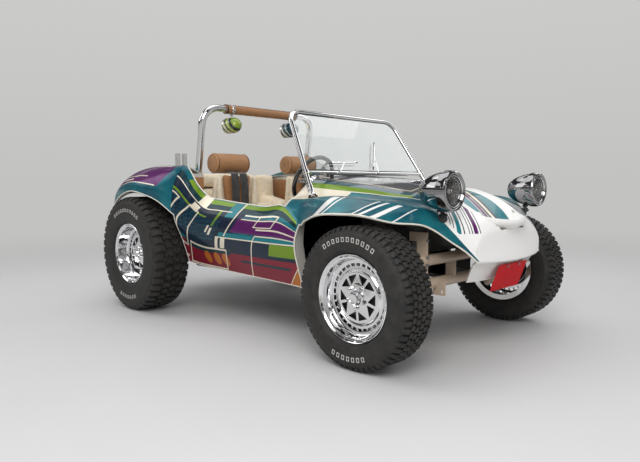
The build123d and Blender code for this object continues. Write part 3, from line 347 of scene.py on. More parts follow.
class Tree:
    """A node tree, with short calls for the nodes that the finishes share."""

    def __init__(self, tree):
        self.tree = tree

    def plug(self, value, socket):
        """Link an output to a socket, or write a number or a colour there."""
        if isinstance(value, bpy.types.NodeSocket):
            self.tree.links.new(value, socket)
        else:
            socket.default_value = (*value, 1) if socket.type == "RGBA" else value

    def node(self, kind, inputs, **settings):
        """Add a node with its settings and what goes into its sockets."""
        node = self.tree.nodes.new(kind)
        for key, value in settings.items():
            setattr(node, key, value)
        for key, value in inputs.items():
            self.plug(value, node.inputs[key])
        return node

    def place(self, kind="Object"):
        return self.node("ShaderNodeTexCoord", {}).outputs[kind]

    def mapped(self, vector, **inputs):
        return self.node("ShaderNodeMapping", {"Vector": vector, **inputs}).outputs[0]

    def noise(self, vector, scale, detail=3.0, rough=0.5):
        sockets = {"Vector": vector, "Scale": scale, "Detail": detail, "Roughness": rough}
        return self.node("ShaderNodeTexNoise", sockets).outputs["Fac"]

    def cells(self, vector, scale, output="Distance"):
        return self.node("ShaderNodeTexVoronoi", {"Vector": vector, "Scale": scale}).outputs[output]

    def math(self, operation, a, b=0.0):
        return self.node("ShaderNodeMath", {0: a, 1: b}, operation=operation).outputs[0]

    def plus(self, a, b):
        return self.math("ADD", a, b)

    def minus(self, a, b):
        return self.math("SUBTRACT", a, b)

    def times(self, a, b):
        return self.math("MULTIPLY", a, b)

    def above(self, value, limit):
        return self.math("GREATER_THAN", value, limit)

    def below(self, value, limit):
        return self.math("LESS_THAN", value, limit)

    def wave(self, value, pitch):
        return self.math("SINE", self.times(value, pitch))

    def range(self, value, low, high, to_low=0.0, to_high=1.0):
        sockets = {"Value": value, "From Min": low, "From Max": high, "To Min": to_low, "To Max": to_high}
        return self.node("ShaderNodeMapRange", sockets).outputs[0]

    def mix(self, share, first, second):
        sockets = {"Factor": share, 6: first, 7: second}
        return self.node("ShaderNodeMix", sockets, data_type="RGBA").outputs[2]

    def bump(self, height, strength, distance):
        sockets = {"Height": height, "Strength": strength, "Distance": distance}
        return self.node("ShaderNodeBump", sockets).outputs[0]

    def apart(self, vector):
        outputs = self.node("ShaderNodeSeparateXYZ", {0: vector}).outputs
        return outputs["X"], outputs["Y"], outputs["Z"]

    def band(self, value, low, high):
        """1 between low and high, 0 outside."""
        return self.times(self.above(value, low), self.below(value, high))

    def both(self, *masks):
        whole = masks[0]
        for mask in masks[1:]:
            whole = self.times(whole, mask)
        return whole


class Recipe(Tree):
    """A material, with short names for its shader's sockets."""

    names = {"colour": "Base Color", "metal": "Metallic", "rough": "Roughness", "coat": "Coat Weight",
             "coat_rough": "Coat Roughness", "glass": "Transmission Weight", "ior": "IOR",
             "sheen": "Sheen Weight", "normal": "Normal", "specular": "Specular IOR Level"}

    def __init__(self, name):
        self.material = bpy.data.materials.new(name)
        self.material.use_nodes = True
        super().__init__(self.material.node_tree)
        self.shader = self.tree.nodes["Principled BSDF"]

    def set(self, **values):
        for key, value in values.items():
            self.plug(value, self.shader.inputs[self.names[key]])


def polished(name, tint, rough=0.05):
    """Bright plated metal with faint polishing haze."""
    r = Recipe(name)
    place = r.place()
    haze = r.noise(place, 38, 4)
    swirl = r.noise(place, 260, 2)
    r.set(colour=tint, metal=1.0, rough=r.range(haze, 0.35, 0.75, rough, rough + 0.07))
    r.set(normal=r.bump(swirl, 0.02, 0.0004))
    return r.material


def painted(name, colour, rough=0.3, coat=0.6, speck=0.04):
    """Sprayed enamel with a little orange peel and uneven gloss."""
    r = Recipe(name)
    place = r.place()
    patches = r.noise(place, 9, 4)
    peel = r.noise(place, 420, 2)
    darker = tuple(c * (1 - speck * 2) for c in colour)
    r.set(colour=r.mix(patches, darker, colour), rough=r.range(patches, 0.3, 0.7, rough - 0.05, rough + 0.08))
    r.set(coat=coat, coat_rough=0.08, normal=r.bump(peel, 0.03, 0.0006))
    return r.material


def plastic(name, colour, rough=0.5, grain=900):
    """Moulded black trim with a fine grain."""
    r = Recipe(name)
    place = r.place()
    cell = r.cells(place, grain)
    dust = r.noise(place, 14, 5)
    pale = tuple(min(1.0, c * 1.5 + 0.01) for c in colour)
    r.set(colour=r.mix(r.range(dust, 0.4, 0.75), colour, pale), normal=r.bump(cell, 0.15, 0.0004))
    r.set(rough=r.range(dust, 0.3, 0.7, rough - 0.08, rough + 0.1))
    return r.material


def cast_metal(name, colour, rough=0.55, metal=0.8):
    """Cast alloy or iron with pitting and darker hollows."""
    r = Recipe(name)
    place = r.place()
    pits = r.noise(place, 320, 4, 0.7)
    stain = r.noise(place, 11, 5, 0.6)
    dark = tuple(c * 0.55 for c in colour)
    r.set(colour=r.mix(r.range(stain, 0.35, 0.7), dark, colour), metal=metal)
    r.set(rough=r.range(stain, 0.3, 0.7, rough - 0.1, rough + 0.15), normal=r.bump(pits, 0.3, 0.0008))
    return r.material


def leather(name, colour, crease=0.35, ribs=0.0):
    """Grained hide with faint creases and lighter rubbed spots. Ribs are sewn lines across Y, per metre."""
    r = Recipe(name)
    place = r.place()
    grain = r.cells(place, 420)
    creases = r.noise(r.mapped(place, Scale=(1, 0.35, 1)), 34, 5, 0.6)
    patches = r.noise(place, 5, 3)
    dark = tuple(c * 0.8 for c in colour)
    worn = r.mix(r.range(creases, 0.34, 0.6), dark, colour)
    shade = r.mix(r.range(patches, 0.35, 0.7, 0.0, 0.45), worn, tuple(min(1, c * 1.12) for c in colour))
    height = r.plus(r.times(grain, 0.4), r.times(creases, crease * 3))
    if ribs:
        sewn = r.math("ABSOLUTE", r.wave(r.apart(place)[1], ribs * math.pi))
        line = r.math("POWER", sewn, 0.4)
        shade = r.mix(line, tuple(c * 0.5 for c in colour), shade)
        height = r.plus(height, line)
    r.set(colour=shade, rough=r.range(creases, 0.3, 0.7, 0.42, 0.6), sheen=0.15)
    r.set(normal=r.bump(height, 0.3, 0.001))
    return r.material


def rubber(name):
    """Tyre rubber: warm dark grey, dusty in the hollows, with moulding rings on the wall."""
    r = Recipe(name)
    place = r.place()
    dust = r.noise(place, 18, 6, 0.65)
    fine = r.noise(place, 300, 3)
    r.set(colour=r.mix(r.range(dust, 0.38, 0.72), (0.016, 0.0155, 0.015), (0.043, 0.039, 0.035)))
    r.set(rough=r.range(dust, 0.3, 0.7, 0.52, 0.74), normal=r.bump(fine, 0.25, 0.0005), specular=0.4)
    return r.material


def clear_glass(name, tint=(0.93, 0.97, 0.96)):
    r = Recipe(name)
    film = r.noise(r.place(), 5, 4)
    r.set(colour=tint, glass=1.0, ior=1.45, rough=r.range(film, 0.3, 0.8, 0.0, 0.03))
    return r.material


def coloured_glass(name, colour):
    """Ribbed coloured lamp glass."""
    r = Recipe(name)
    place = r.place()
    ribs = r.wave(r.apart(place)[1], 900.0)
    film = r.noise(place, 9, 3)
    r.set(colour=colour, glass=0.4, rough=r.range(film, 0.3, 0.7, 0.08, 0.16))
    r.set(normal=r.bump(ribs, 0.2, 0.0006))
    return r.material


def plate_finish():
    """Blank plate: deep matt red with a faint rubbed patch."""
    r = Recipe("plate_red")
    place = r.place()
    rub = r.noise(place, 24, 4)
    r.set(colour=r.mix(r.range(rub, 0.4, 0.7), (0.6, 0.008, 0.013), (0.5, 0.012, 0.016)))
    r.set(rough=0.6, specular=0.12, normal=r.bump(r.noise(place, 500, 2), 0.03, 0.0005))
    return r.material


def webbing():
    """Black harness webbing with its weave and some wear."""
    r = Recipe("webbing")
    place = r.place()
    x, y, z = r.apart(place)
    weave = r.plus(r.wave(z, 2600.0), r.wave(y, 2600.0))
    wear = r.noise(place, 30, 4)
    r.set(colour=r.mix(r.range(wear, 0.4, 0.7), (0.02, 0.018, 0.018), (0.055, 0.05, 0.05)))
    r.set(rough=0.75, sheen=0.3, normal=r.bump(weave, 0.25, 0.0005))
    return r.material


def ribbed_glass():
    """Lamp glass with fine upright flutes."""
    r = Recipe("lamp_glass")
    place = r.place()
    flutes = r.math("ABSOLUTE", r.wave(r.apart(place)[1], 420.0))
    film = r.noise(place, 9, 3)
    r.set(colour=(0.72, 0.72, 0.7), glass=1.0, ior=1.45, rough=r.range(film, 0.3, 0.8, 0.0, 0.02))
    r.set(normal=r.bump(flutes, 0.35, 0.0012))
    return r.material


def pod_paint():
    """Speaker pods: lime with cream and dark bands on one side, teal on the other."""
    r = Recipe("pod_paint")
    place = r.place()
    x, y, z = r.apart(place)
    left = r.above(y, 0.0)
    cloud = r.noise(place, 22, 4)
    lime_mix = r.mix(r.range(cloud, 0.4, 0.7), lime, (0.34, 0.4, 0.03))
    colour = r.mix(left, lime_mix, teal)
    slope = r.plus(x, r.times(z, 0.6))
    start = hoop_x + pod_z * 0.6
    for low, high, tone in (
        (-0.03, -0.012, cream), (-0.008, 0.004, navy), (0.02, 0.026, cream), (0.04, 0.06, navy),
        (-0.052, -0.04, navy)
    ):
        colour = r.mix(r.band(slope, start + low, start + high), colour, tone)
    r.set(colour=colour, rough=r.range(cloud, 0.3, 0.7, 0.22, 0.32), coat=0.7, coat_rough=0.04)
    r.set(normal=r.bump(r.noise(place, 300, 2), 0.02, 0.0005))
    return r.material


teal = (0.002, 0.085, 0.125)
light_teal = (0.006, 0.19, 0.225)
dark_teal = (0.002, 0.03, 0.042)
navy = (0.004, 0.014, 0.036)
purple = (0.105, 0.006, 0.115)
lime = (0.17, 0.29, 0.01)
crimson = (0.23, 0.005, 0.022)
amber = (0.5, 0.15, 0.01)
cream = (0.8, 0.72, 0.57)
white = (0.9, 0.885, 0.855)
pewter = (0.06, 0.062, 0.066)


def body_paint():
    """Clear-coated flake paint: teal wings, banded sides with slanted outlines, and a white nose."""
    r = Recipe("body_paint")
    place = r.place()
    x, y, z = r.apart(place)
    near = r.math("ABSOLUTE", y)
    # UV holds a point's place along the car and its column, from 0 in the middle to 10 at the sill
    u, v = r.apart(r.place("UV"))[:2]
    glint, gloss = r.apart(r.cells(place, 1500, "Color"))[:2]
    cloud = r.noise(place, 7, 5)
    colour = r.mix(r.range(cloud, 0.4, 0.72), teal, light_teal)
    # Lengths along the car that lean with the height, a little and steeply
    lean = r.plus(u, r.times(r.minus(v, 7.5), 0.05))
    steep = r.plus(u, r.times(r.minus(v, 9.0), 0.11))

    def patch(v0, v1, s0, s1, along=lean):
        return r.both(r.band(v, v0, v1), r.band(along, s0, s1))

    def outline(v0, v1, s0, s1, line=0.009):
        inner = patch(v0 + line * 11, v1 - line * 11, s0 + line, s1 - line)
        return r.minus(patch(v0, v1, s0, s1), inner)

    side = r.both(r.band(v, 4.99, 10.01), r.band(u, -0.43, 0.7))
    art = colour
    # Columns: colour, v from, v to (5 is the cockpit rim, 10 the sill), lean from, lean to
    for tone, v0, v1, s0, s1 in [
        (navy, 5.75, 8.6, -0.7, 0.16), (dark_teal, 5.36, 5.75, -0.6, 0.85), (lime, 5.06, 5.36, -0.47, 0.85),
        (navy, 7.6, 8.75, 0.16, 0.9), (purple, 6.15, 7.5, 0.12, 0.9), (light_teal, 7.62, 8.02, 0.02, 0.9),
        (lime, 8.08, 8.62, 0.52, 0.9), (crimson, 8.8, 10.1, -0.8, 0.95), (navy, 8.62, 8.8, 0.16, 0.95),
        (light_teal, 5.06, 6.2, -0.02, 0.07), (lime, 6.3, 6.46, -0.7, -0.2), (lime, 5.75, 7.2, -0.1, -0.075),
        (dark_teal, 8.6, 8.95, -0.3, 0.16),
    ]:
        art = r.mix(patch(v0, v1, s0, s1), art, tone)
    for tone, v0, v1, s0, s1 in [
        (amber, 8.62, 10.1, 0.7, 0.98), (cream, 8.62, 10.1, 0.69, 0.698), (dark_teal, 9.1, 9.24, 0.2, 0.64),
    ]:
        art = r.mix(patch(v0, v1, s0, s1, steep), art, tone)
    slanted = r.mapped(place, Rotation=(0, math.radians(45), 0))
    check = r.node("ShaderNodeTexChecker", {"Vector": slanted, "Scale": 52}).outputs["Fac"]
    fleck = r.both(patch(6.46, 8.3, -0.6, -0.02), r.times(check, 0.5))
    art = r.mix(fleck, art, teal)
    # Discs over the lower band
    for at in (-0.17, -0.07, 0.02):
        off = r.minus(u, at)
        drop = r.times(r.minus(v, 9.28), 0.088)
        reach = r.plus(r.times(off, off), r.times(drop, drop))
        art = r.mix(r.below(reach, 0.034 ** 2), art, amber)
    # Columns: v from, v to, lean from, lean to, of solid cream bars and then of cream outlines
    for v0, v1, s0, s1 in [
        (5.02, 5.7, -0.34, -0.255), (5.85, 6.45, -0.36, -0.3), (7.15, 7.75, -0.135, -0.115),
        (7.35, 7.95, -0.095, -0.07), (8.0, 8.75, 0.0, 0.03), (8.05, 8.6, 0.055, 0.1),
        (5.02, 7.9, 0.075, 0.088), (6.16, 6.26, 0.15, 0.75), (6.98, 7.12, 0.34, 0.75),
        (5.8, 5.9, 0.16, 0.4), (8.0, 8.06, 0.02, 0.9), (9.62, 9.72, -0.62, -0.28), (5.7, 5.76, -0.62, 0.02),
    ]:
        art = r.mix(patch(v0, v1, s0, s1), art, cream)
    for v0, v1, s0, s1 in [(6.6, 9.4, -0.5, -0.42), (6.25, 9.1, -0.37, -0.28), (7.55, 10.2, 0.36, 0.8),
                           (8.65, 9.95, -0.26, 0.12), (5.78, 6.9, 0.3, 0.46)]:
        art = r.mix(outline(v0, v1, s0, s1), art, cream)
    colour = r.mix(side, colour, art)
    # Rear wing: purple saddle with cream piping and a lime edge
    saddle_line = r.plus(u, r.times(v, 0.05))
    saddle = r.both(r.band(v, 5.15, 6.75), r.band(saddle_line, -0.92, -0.22), r.below(u, -0.5))
    colour = r.mix(saddle, colour, purple)
    for v0, v1, u0, u1 in ((5.08, 5.2, -1.2, -0.55), (6.72, 6.82, -1.16, -0.58), (5.95, 6.02, -1.1, -0.7),
                           (6.3, 6.5, -1.0, -0.86)):
        colour = r.mix(r.both(r.band(v, v0, v1), r.band(u, u0, u1)), colour, cream)
    colour = r.mix(r.both(r.band(v, 4.5, 4.95), r.band(u, -1.2, -0.5)), colour, lime)
    # Front wing: plain white stripes across its crown
    crown = r.both(r.band(v, 4.05, 5.1), r.above(u, 0.66))
    for at, width in (
        (1.19, 0.01), (1.225, 0.014), (1.27, 0.018), (1.33, 0.006), (0.92, 0.05), (0.99, 0.012)
    ):
        across = r.plus(u, r.times(v, 0.03))
        colour = r.mix(r.both(r.band(across, at + 0.13, at + 0.13 + width), crown), colour, white)
    # Scuttle: cream wedge and lime edge beside the bonnet
    colour = r.mix(r.both(r.band(v, 2.42, 3.95), r.band(u, 0.5, 0.88)), colour, cream)
    colour = r.mix(r.both(r.band(v, 2.0, 2.35), r.band(u, 0.5, 1.22)), colour, lime)
    colour = r.mix(r.both(r.band(v, 2.35, 2.42), r.band(u, 0.5, 1.3)), colour, cream)
    # White nose, edged along a straight line inside the wing's lip, with stripes across its shoulder
    ahead = r.minus(x, front_axle.x)
    edge = r.minus(r.times(near, 0.4372), r.times(ahead, 0.5998))
    edge = r.plus(edge, r.minus(0.434, r.times(z, 0.6701)))
    top = r.below(v, 4.99)
    shoulder = r.math("MAXIMUM", 0.0, r.times(r.minus(near, 0.24), 0.85))
    rear_line = r.minus(ahead, shoulder)
    chin = r.both(r.above(ahead, 0.3), r.below(z, 0.507))
    inside = r.math("MAXIMUM", chin, r.both(r.below(edge, 0.0), top))
    nose = r.both(r.above(rear_line, 0.066), inside)
    colour = r.mix(nose, colour, white)
    across = r.minus(r.times(ahead, 2.0), r.times(near, 3.0))
    stripes = r.both(r.above(ahead, 0.225), r.below(edge, -0.016), top,
                     r.above(v, -0.5), r.above(z, 0.638))
    for at, width, tone in (
        (-0.648, 0.015, navy), (-0.598, 0.015, navy), (-0.511, 0.075, light_teal), (-0.425, 0.021, dark_teal),
        (-0.332, 0.015, navy), (-0.275, 0.018, navy), (-0.193, 0.075, purple), (-0.228, 0.012, navy),
        (-0.11, 0.018, navy)
    ):
        band = r.band(across, at - width / 2, at + width / 2)
        colour = r.mix(r.both(band, stripes), colour, tone)
    # Dish of the nose: slanted bands on its flat floor
    floor_line = r.plus(y, r.times(r.minus(ahead, 0.2), 0.35))
    floor = r.band(v, -1.655, -0.9)
    for low, high, tone in (
        (-0.2, -0.072, light_teal), (-0.072, -0.066, cream), (-0.066, -0.036, purple),
        (-0.036, -0.031, cream), (-0.031, 0.04, navy), (-0.01, 0.016, cream), (0.04, 0.2, light_teal),
        (0.058, 0.062, navy)
    ):
        colour = r.mix(r.both(r.band(floor_line, low, high), floor), colour, tone)
    sparkle = r.range(glint, 0.6, 1.0, 0.0, 0.14)
    colour = r.mix(sparkle, colour, r.mix(0.5, colour, (0.55, 0.68, 0.7)))
    r.set(colour=colour, metal=r.times(r.minus(1.0, r.both(inside, nose)), 0.35))
    r.set(rough=r.range(gloss, 0.0, 1.0, 0.28, 0.42), coat=0.36, coat_rough=0.03, specular=0.12)
    peel = r.noise(place, 240, 2)
    r.set(normal=r.bump(peel, 0.015, 0.0005))
    return r.material


def bonnet_paint():
    """Pewter flake panel with a cream outline."""
    r = Recipe("bonnet_paint")
    place = r.place()
    u, v = r.apart(r.place("UV"))[:2]
    glint, gloss = r.apart(r.cells(place, 1100, "Color"))[:2]
    colour = r.mix(r.range(glint, 0.5, 1.0, 0.0, 0.6), pewter, (0.3, 0.31, 0.33))
    outline = r.both(r.band(v, 1.55, 1.62), r.band(u, 0.62, 1.16))
    colour = r.mix(outline, colour, cream)
    outline = r.both(r.below(v, 1.62), r.band(u, 1.15, 1.162))
    colour = r.mix(outline, colour, cream)
    colour = r.mix(r.above(v, 1.75), colour, teal)
    r.set(colour=colour, metal=0.4, rough=r.range(gloss, 0.0, 1.0, 0.25, 0.45), coat=1.0, coat_rough=0.04)
    return r.material


# Camera, light and floor

def make_camera():
    """The photograph's view: a wide lens low in front of the car's right-hand corner."""
    focal_pixels, image_width = 570.88, 640.0
    yaw, pitch, roll = math.radians(135.05), math.radians(-4.54), -0.00622
    deselect()
    bpy.ops.object.camera_add(location=(2.9352, -2.7618, 0.8719))
    camera = bpy.context.object
    camera.data.sensor_width = 36.0
    camera.data.lens = focal_pixels / image_width * camera.data.sensor_width
    ahead = Vector((math.cos(yaw) * math.cos(pitch), math.sin(yaw) * math.cos(pitch), math.sin(pitch)))
    right = Vector((math.sin(yaw), -math.cos(yaw), 0))
    up = right.cross(ahead)
    right, up = (right * math.cos(roll) + up * math.sin(roll), up * math.cos(roll) - right * math.sin(roll))
    turn = Matrix((right, up, -ahead)).transposed()
    camera.matrix_world = Matrix.Translation(camera.location) @ turn.to_4x4()
    bpy.context.scene.camera = camera


def make_lights():
    """Soft boxes overhead and to each side, over a pale even surround."""
    # Columns: place, size, aim, watts
    boxes = [
        ((3.2, -3.2, 3.4), 2.4, (0.5, 0, 0.45), 104),
        ((-3.4, -3.0, 3.6), 2.4, (-0.3, 0, 0.5), 34),
        ((1.0, 4.0, 3.8), 2.6, (0, 0, 0.5), 34),
        ((-0.5, -0.3, 5.0), 3.6, (0, 0, 0), 60),
    ]
    for place, size, aim, watts in boxes:
        deselect()
        bpy.ops.object.light_add(type="AREA", location=place)
        lamp = bpy.context.object
        lamp.data.size = size
        lamp.data.energy = watts
        lamp.rotation_euler = (Vector(place) - Vector(aim)).to_track_quat("Z", "Y").to_euler()
    make_surround()
    bpy.context.scene.view_settings.view_transform = "Standard"


def make_surround():
    """World: a pale backdrop, an even fill, and for metal a hall with a wall and rows of roof lights."""
    world = bpy.data.worlds.new("surround")
    world.use_nodes = True
    bpy.context.scene.world = world
    w = Tree(world.node_tree)
    w.tree.nodes.clear()
    out = w.node("ShaderNodeOutputWorld", {})
    rays = w.node("ShaderNodeLightPath", {}).outputs
    x, y, z = w.apart(w.place("Generated"))

    def ramp(kind, *stops):
        """Colours by height, each stop a height and a colour."""
        node = w.node("ShaderNodeValToRGB", {0: z})
        node.color_ramp.interpolation = kind
        elements = node.color_ramp.elements
        while len(elements) < len(stops):
            elements.new(0.5)
        for element, (at, colour) in zip(elements, stops):
            element.position = at
            element.color = (*colour, 1)
        return node.outputs[0]

    def background(colour, strength=1.0):
        return w.node("ShaderNodeBackground", {"Color": colour, "Strength": strength}).outputs[0]

    def chosen(share, first, second):
        return w.node("ShaderNodeMixShader", {0: share, 1: first, 2: second}).outputs[0]

    seen = background(ramp("LINEAR", (0.0, backdrop_tone), (0.5, (0.64, 0.64, 0.63))))
    felt = background((0.95, 0.96, 1.0), 0.58)
    hall = ramp("CONSTANT", (0.0, (0.40, 0.39, 0.37)), (0.06, (0.62, 0.62, 0.60)),
                (0.12, (0.045, 0.045, 0.05)), (0.24, (0.3, 0.3, 0.31)), (0.3, (0.06, 0.06, 0.065)))
    # Roof lights: rows that run across the car, broken into panels, seen above a low angle
    along = w.math("FRACT", w.times(w.math("DIVIDE", x, z), 0.85))
    across = w.math("FRACT", w.times(w.math("DIVIDE", y, z), 0.6))
    panel = w.both(w.below(along, 0.34), w.below(across, 0.72), w.above(z, 0.3))
    mirrored_hall = chosen(panel, background(hall), background((1.0, 1.0, 0.98), 1.15))
    clear = w.math("MAXIMUM", rays["Is Camera Ray"], rays["Is Transmission Ray"])
    shown = chosen(rays["Is Glossy Ray"], felt, mirrored_hall)
    w.plug(chosen(clear, shown, seen), out.inputs[0])


def make_floor():
    """Pale floor that fades into the backdrop far from the car."""
    deselect()
    bpy.ops.mesh.primitive_plane_add(size=120, location=(0, 0, -0.0005))
    floor = named("studio_floor")
    r = Recipe("floor_paint")
    place = r.place()
    mottle = r.noise(place, 1.5, 3)
    r.set(colour=r.mix(mottle, (0.64, 0.635, 0.625), (0.68, 0.675, 0.665)), rough=0.6)
    x, y, z = r.apart(place)
    reach = r.math("SQRT", r.plus(r.times(x, x), r.times(y, y)))
    far = r.range(reach, 3.0, 9.0)
    far = r.times(far, r.minus(2.0, far))
    glow = r.node("ShaderNodeEmission", {"Color": backdrop_tone}).outputs[0]
    blend = r.node("ShaderNodeMixShader", {0: far, 1: r.shader.outputs[0], 2: glow})
    r.plug(blend.outputs[0], r.tree.nodes["Material Output"].inputs["Surface"])
    floor.data.materials.append(r.material)


# Body shell, from stations along the car and lines along its flank

# Columns: behind front axle, centre z, then y and z of bonnet middle, bonnet edge, root, crest, lip
front_rows = [
    (-0.384, 0.672, 0.110, 0.668, 0.200, 0.656, 0.290, 0.628, 0.332, 0.578, 0.335, 0.505),
    (-0.350, 0.711, 0.122, 0.705, 0.226, 0.690, 0.305, 0.667, 0.350, 0.634, 0.368, 0.548),
    (-0.300, 0.748, 0.140, 0.741, 0.260, 0.722, 0.324, 0.703, 0.380, 0.676, 0.412, 0.594),
    (-0.218, 0.800, 0.165, 0.790, 0.310, 0.766, 0.380, 0.750, 0.450, 0.738, 0.530, 0.680),
    (-0.145, 0.832, 0.185, 0.822, 0.340, 0.794, 0.420, 0.776, 0.540, 0.768, 0.672, 0.698),
    (-0.060, 0.858, 0.200, 0.849, 0.364, 0.814, 0.458, 0.792, 0.602, 0.791, 0.790, 0.733),
    (0.060, 0.876, 0.215, 0.866, 0.388, 0.828, 0.490, 0.800, 0.630, 0.806, 0.802, 0.738),
    (0.230, 0.900, 0.230, 0.890, 0.412, 0.852, 0.525, 0.806, 0.650, 0.818, 0.800, 0.728),
    (0.370, 0.914, 0.240, 0.905, 0.430, 0.868, 0.545, 0.806, 0.640, 0.812, 0.752, 0.690),
    (0.484, 0.925, 0.245, 0.916, 0.446, 0.880, 0.560, 0.808, 0.625, 0.800, 0.712, 0.668),
    (0.620, 0.938, 0.250, 0.930, 0.466, 0.890, 0.560, 0.820, 0.610, 0.796, 0.656, 0.756),
]
# Columns: behind front axle, then y and z of rim, shoulder, flank, belly, tuck, sill
side_rows = [
    (0.484, 0.712, 0.668, 0.712, 0.630, 0.716, 0.596, 0.717, 0.555, 0.690, 0.430, 0.652, 0.318),
    (0.620, 0.656, 0.756, 0.700, 0.682, 0.714, 0.622, 0.722, 0.555, 0.690, 0.430, 0.643, 0.321),
    (0.800, 0.650, 0.753, 0.701, 0.682, 0.716, 0.624, 0.724, 0.557, 0.691, 0.434, 0.641, 0.327),
    (1.000, 0.650, 0.766, 0.702, 0.690, 0.718, 0.630, 0.726, 0.560, 0.692, 0.440, 0.640, 0.333),
    (1.200, 0.651, 0.784, 0.704, 0.698, 0.720, 0.638, 0.728, 0.564, 0.693, 0.445, 0.643, 0.340),
    (1.375, 0.655, 0.812, 0.708, 0.716, 0.724, 0.650, 0.731, 0.572, 0.695, 0.450, 0.648, 0.347),
    (1.494, 0.660, 0.892, 0.718, 0.795, 0.738, 0.705, 0.745, 0.616, 0.706, 0.475, 0.656, 0.354),
    (1.585, 0.668, 1.000, 0.752, 0.900, 0.778, 0.800, 0.785, 0.686, 0.722, 0.520, 0.672, 0.368),
]
# Columns: behind front axle, then y and z of deck edge, crest, shoulder, flank, lip
rear_rows = [
    (1.585, 0.560, 0.960, 0.668, 1.000, 0.752, 0.900, 0.778, 0.800, 0.785, 0.686),
    (1.700, 0.545, 0.965, 0.680, 1.012, 0.790, 0.930, 0.822, 0.850, 0.828, 0.770),
    (1.860, 0.540, 0.968, 0.690, 1.018, 0.808, 0.945, 0.846, 0.880, 0.856, 0.822),
    (2.040, 0.530, 0.965, 0.690, 1.010, 0.812, 0.945, 0.850, 0.895, 0.862, 0.842),
    (2.200, 0.515, 0.945, 0.678, 0.985, 0.800, 0.925, 0.842, 0.870, 0.856, 0.806),
    (2.360, 0.495, 0.880, 0.650, 0.920, 0.768, 0.870, 0.812, 0.810, 0.828, 0.730),
    (2.470, 0.470, 0.790, 0.610, 0.830, 0.715, 0.790, 0.760, 0.730, 0.778, 0.650),
]
rim_column, deck_column, belly_column = 5, 4, 8
steps_along, steps_across = 6, 6

# Dish on the nose: ovals seen from above, as middle ahead of the front axle, half length and half width
dish_floor = (0.205, 0.16, 0.15)
dish_rim = (0.248, 0.196, 0.205)
floor_share = 0.66
rim_rise = 0.004


def key_points():
    """Stations as {column: point}. Columns 0 to 5 run from the centre to the lip, 5 to 10 down the side."""
    stations = {}
    for behind, centre_z, *rest in front_rows:
        row = stations.setdefault(behind, {})
        row[0] = Vector((fx(behind), 0, centre_z))
        for k in range(5):
            row[k + 1] = Vector((fx(behind), rest[2 * k], rest[2 * k + 1]))
    for behind, *rest in side_rows:
        row = stations.setdefault(behind, {})
        for k in range(6):
            row[rim_column + k] = Vector((fx(behind), rest[2 * k], rest[2 * k + 1]))
    for behind, *rest in rear_rows:
        row = stations.setdefault(behind, {})
        for k in range(5):
            row[deck_column + k] = Vector((fx(behind), rest[2 * k], rest[2 * k + 1]))
    # The arch's rear upper corner is round, so the edge there leans forward
    corner = stations[0.484]
    for column, forward in ((5, 0.036), (6, 0.014), (7, 0.004)):
        corner[column] = corner[column] + Vector((forward, 0, 0))
    return [stations[key] for key in sorted(stations)]


def slopes(places, knots):
    """Slope at each place of a smooth line through places at uneven knots."""
    last = len(places) - 1
    spans = [(places[i + 1] - places[i]) / (knots[i + 1] - knots[i]) for i in range(last)]
    out = [spans[0]]
    for i in range(1, last):
        before, after = knots[i] - knots[i - 1], knots[i + 1] - knots[i]
        out.append((spans[i] * before + spans[i - 1] * after) / (before + after))
    out.append(spans[-1])
    return out


def smoothed(places, knots, steps):
    """Points of the smooth line, with a number of steps to each span."""
    slope = slopes(places, knots)
    out = []
    for i in range(len(places) - 1):
        span = knots[i + 1] - knots[i]
        for k in range(steps):
            t = k / steps
            start = places[i] * (2 * t ** 3 - 3 * t ** 2 + 1) + slope[i] * (span * (t ** 3 - 2 * t ** 2 + t))
            stop = slope[i + 1] * (span * (t ** 3 - t ** 2))
            out.append(start + places[i + 1] * (3 * t ** 2 - 2 * t ** 3) + stop)
    out.append(places[-1])
    return out


def smooth_step(start, stop, value):
    t = min(1, max(0, (value - start) / (stop - start)))
    return t * t * (3 - 2 * t)


def body_surface():
    """Dense rows of points: a list of {fine column: point}, from the nose to the tail."""
    fine_rows = []
    for row in key_points():
        fine = {}
        columns = sorted(row)
        places = [row[c] for c in columns]
        knots = [0.0]
        for a, b in zip(places, places[1:]):
            knots.append(knots[-1] + max(0.001, (b - a).length))
        for i, point in enumerate(smoothed(places, knots, steps_across)):
            fine[columns[0] * steps_across + i] = point
        fine_rows.append(fine)
    knots = [row_x(fine) for fine in fine_rows]
    dense = [dict() for i in range((len(fine_rows) - 1) * steps_along + 1)]
    for column in sorted({c for fine in fine_rows for c in fine}):
        runs = []
        for i, fine in enumerate(fine_rows):
            if column in fine:
                if runs and runs[-1][-1] == i - 1:
                    runs[-1].append(i)
                else:
                    runs.append([i])
        for run in runs:
            if len(run) < 2:
                dense[run[0] * steps_along][column] = fine_rows[run[0]][column]
                continue
            places = [fine_rows[i][column] for i in run]
            for k, point in enumerate(smoothed(places, [knots[i] for i in run], steps_along)):
                dense[run[0] * steps_along + k][column] = point
    return dense


def row_x(fine):
    """Knot of a station: how far it lies behind the nose."""
    return nose_x - min(point.x for point in fine.values())


# Front of the nose: height and how far ahead of the front axle its middle stands
nose_profile = [(0.672, 0.384), (0.664, 0.39), (0.655, 0.395), (0.645, 0.398), (0.63, 0.401),
                (0.6, 0.404), (0.56, 0.411), (0.52, 0.42), (0.497, 0.427)]
# Under the front. Columns: height and place ahead of the axle in the middle, then y, height and place at
# the corner
chin_rows = [
    (0.491, 0.4265, 0.333, 0.499, 0.378), (0.487, 0.422, 0.33, 0.493, 0.373),
    (0.485, 0.403, 0.324, 0.488, 0.359), (0.44, 0.37, 0.305, 0.442, 0.331), (0.39, 0.335, 0.285, 0.39, 0.3)
]


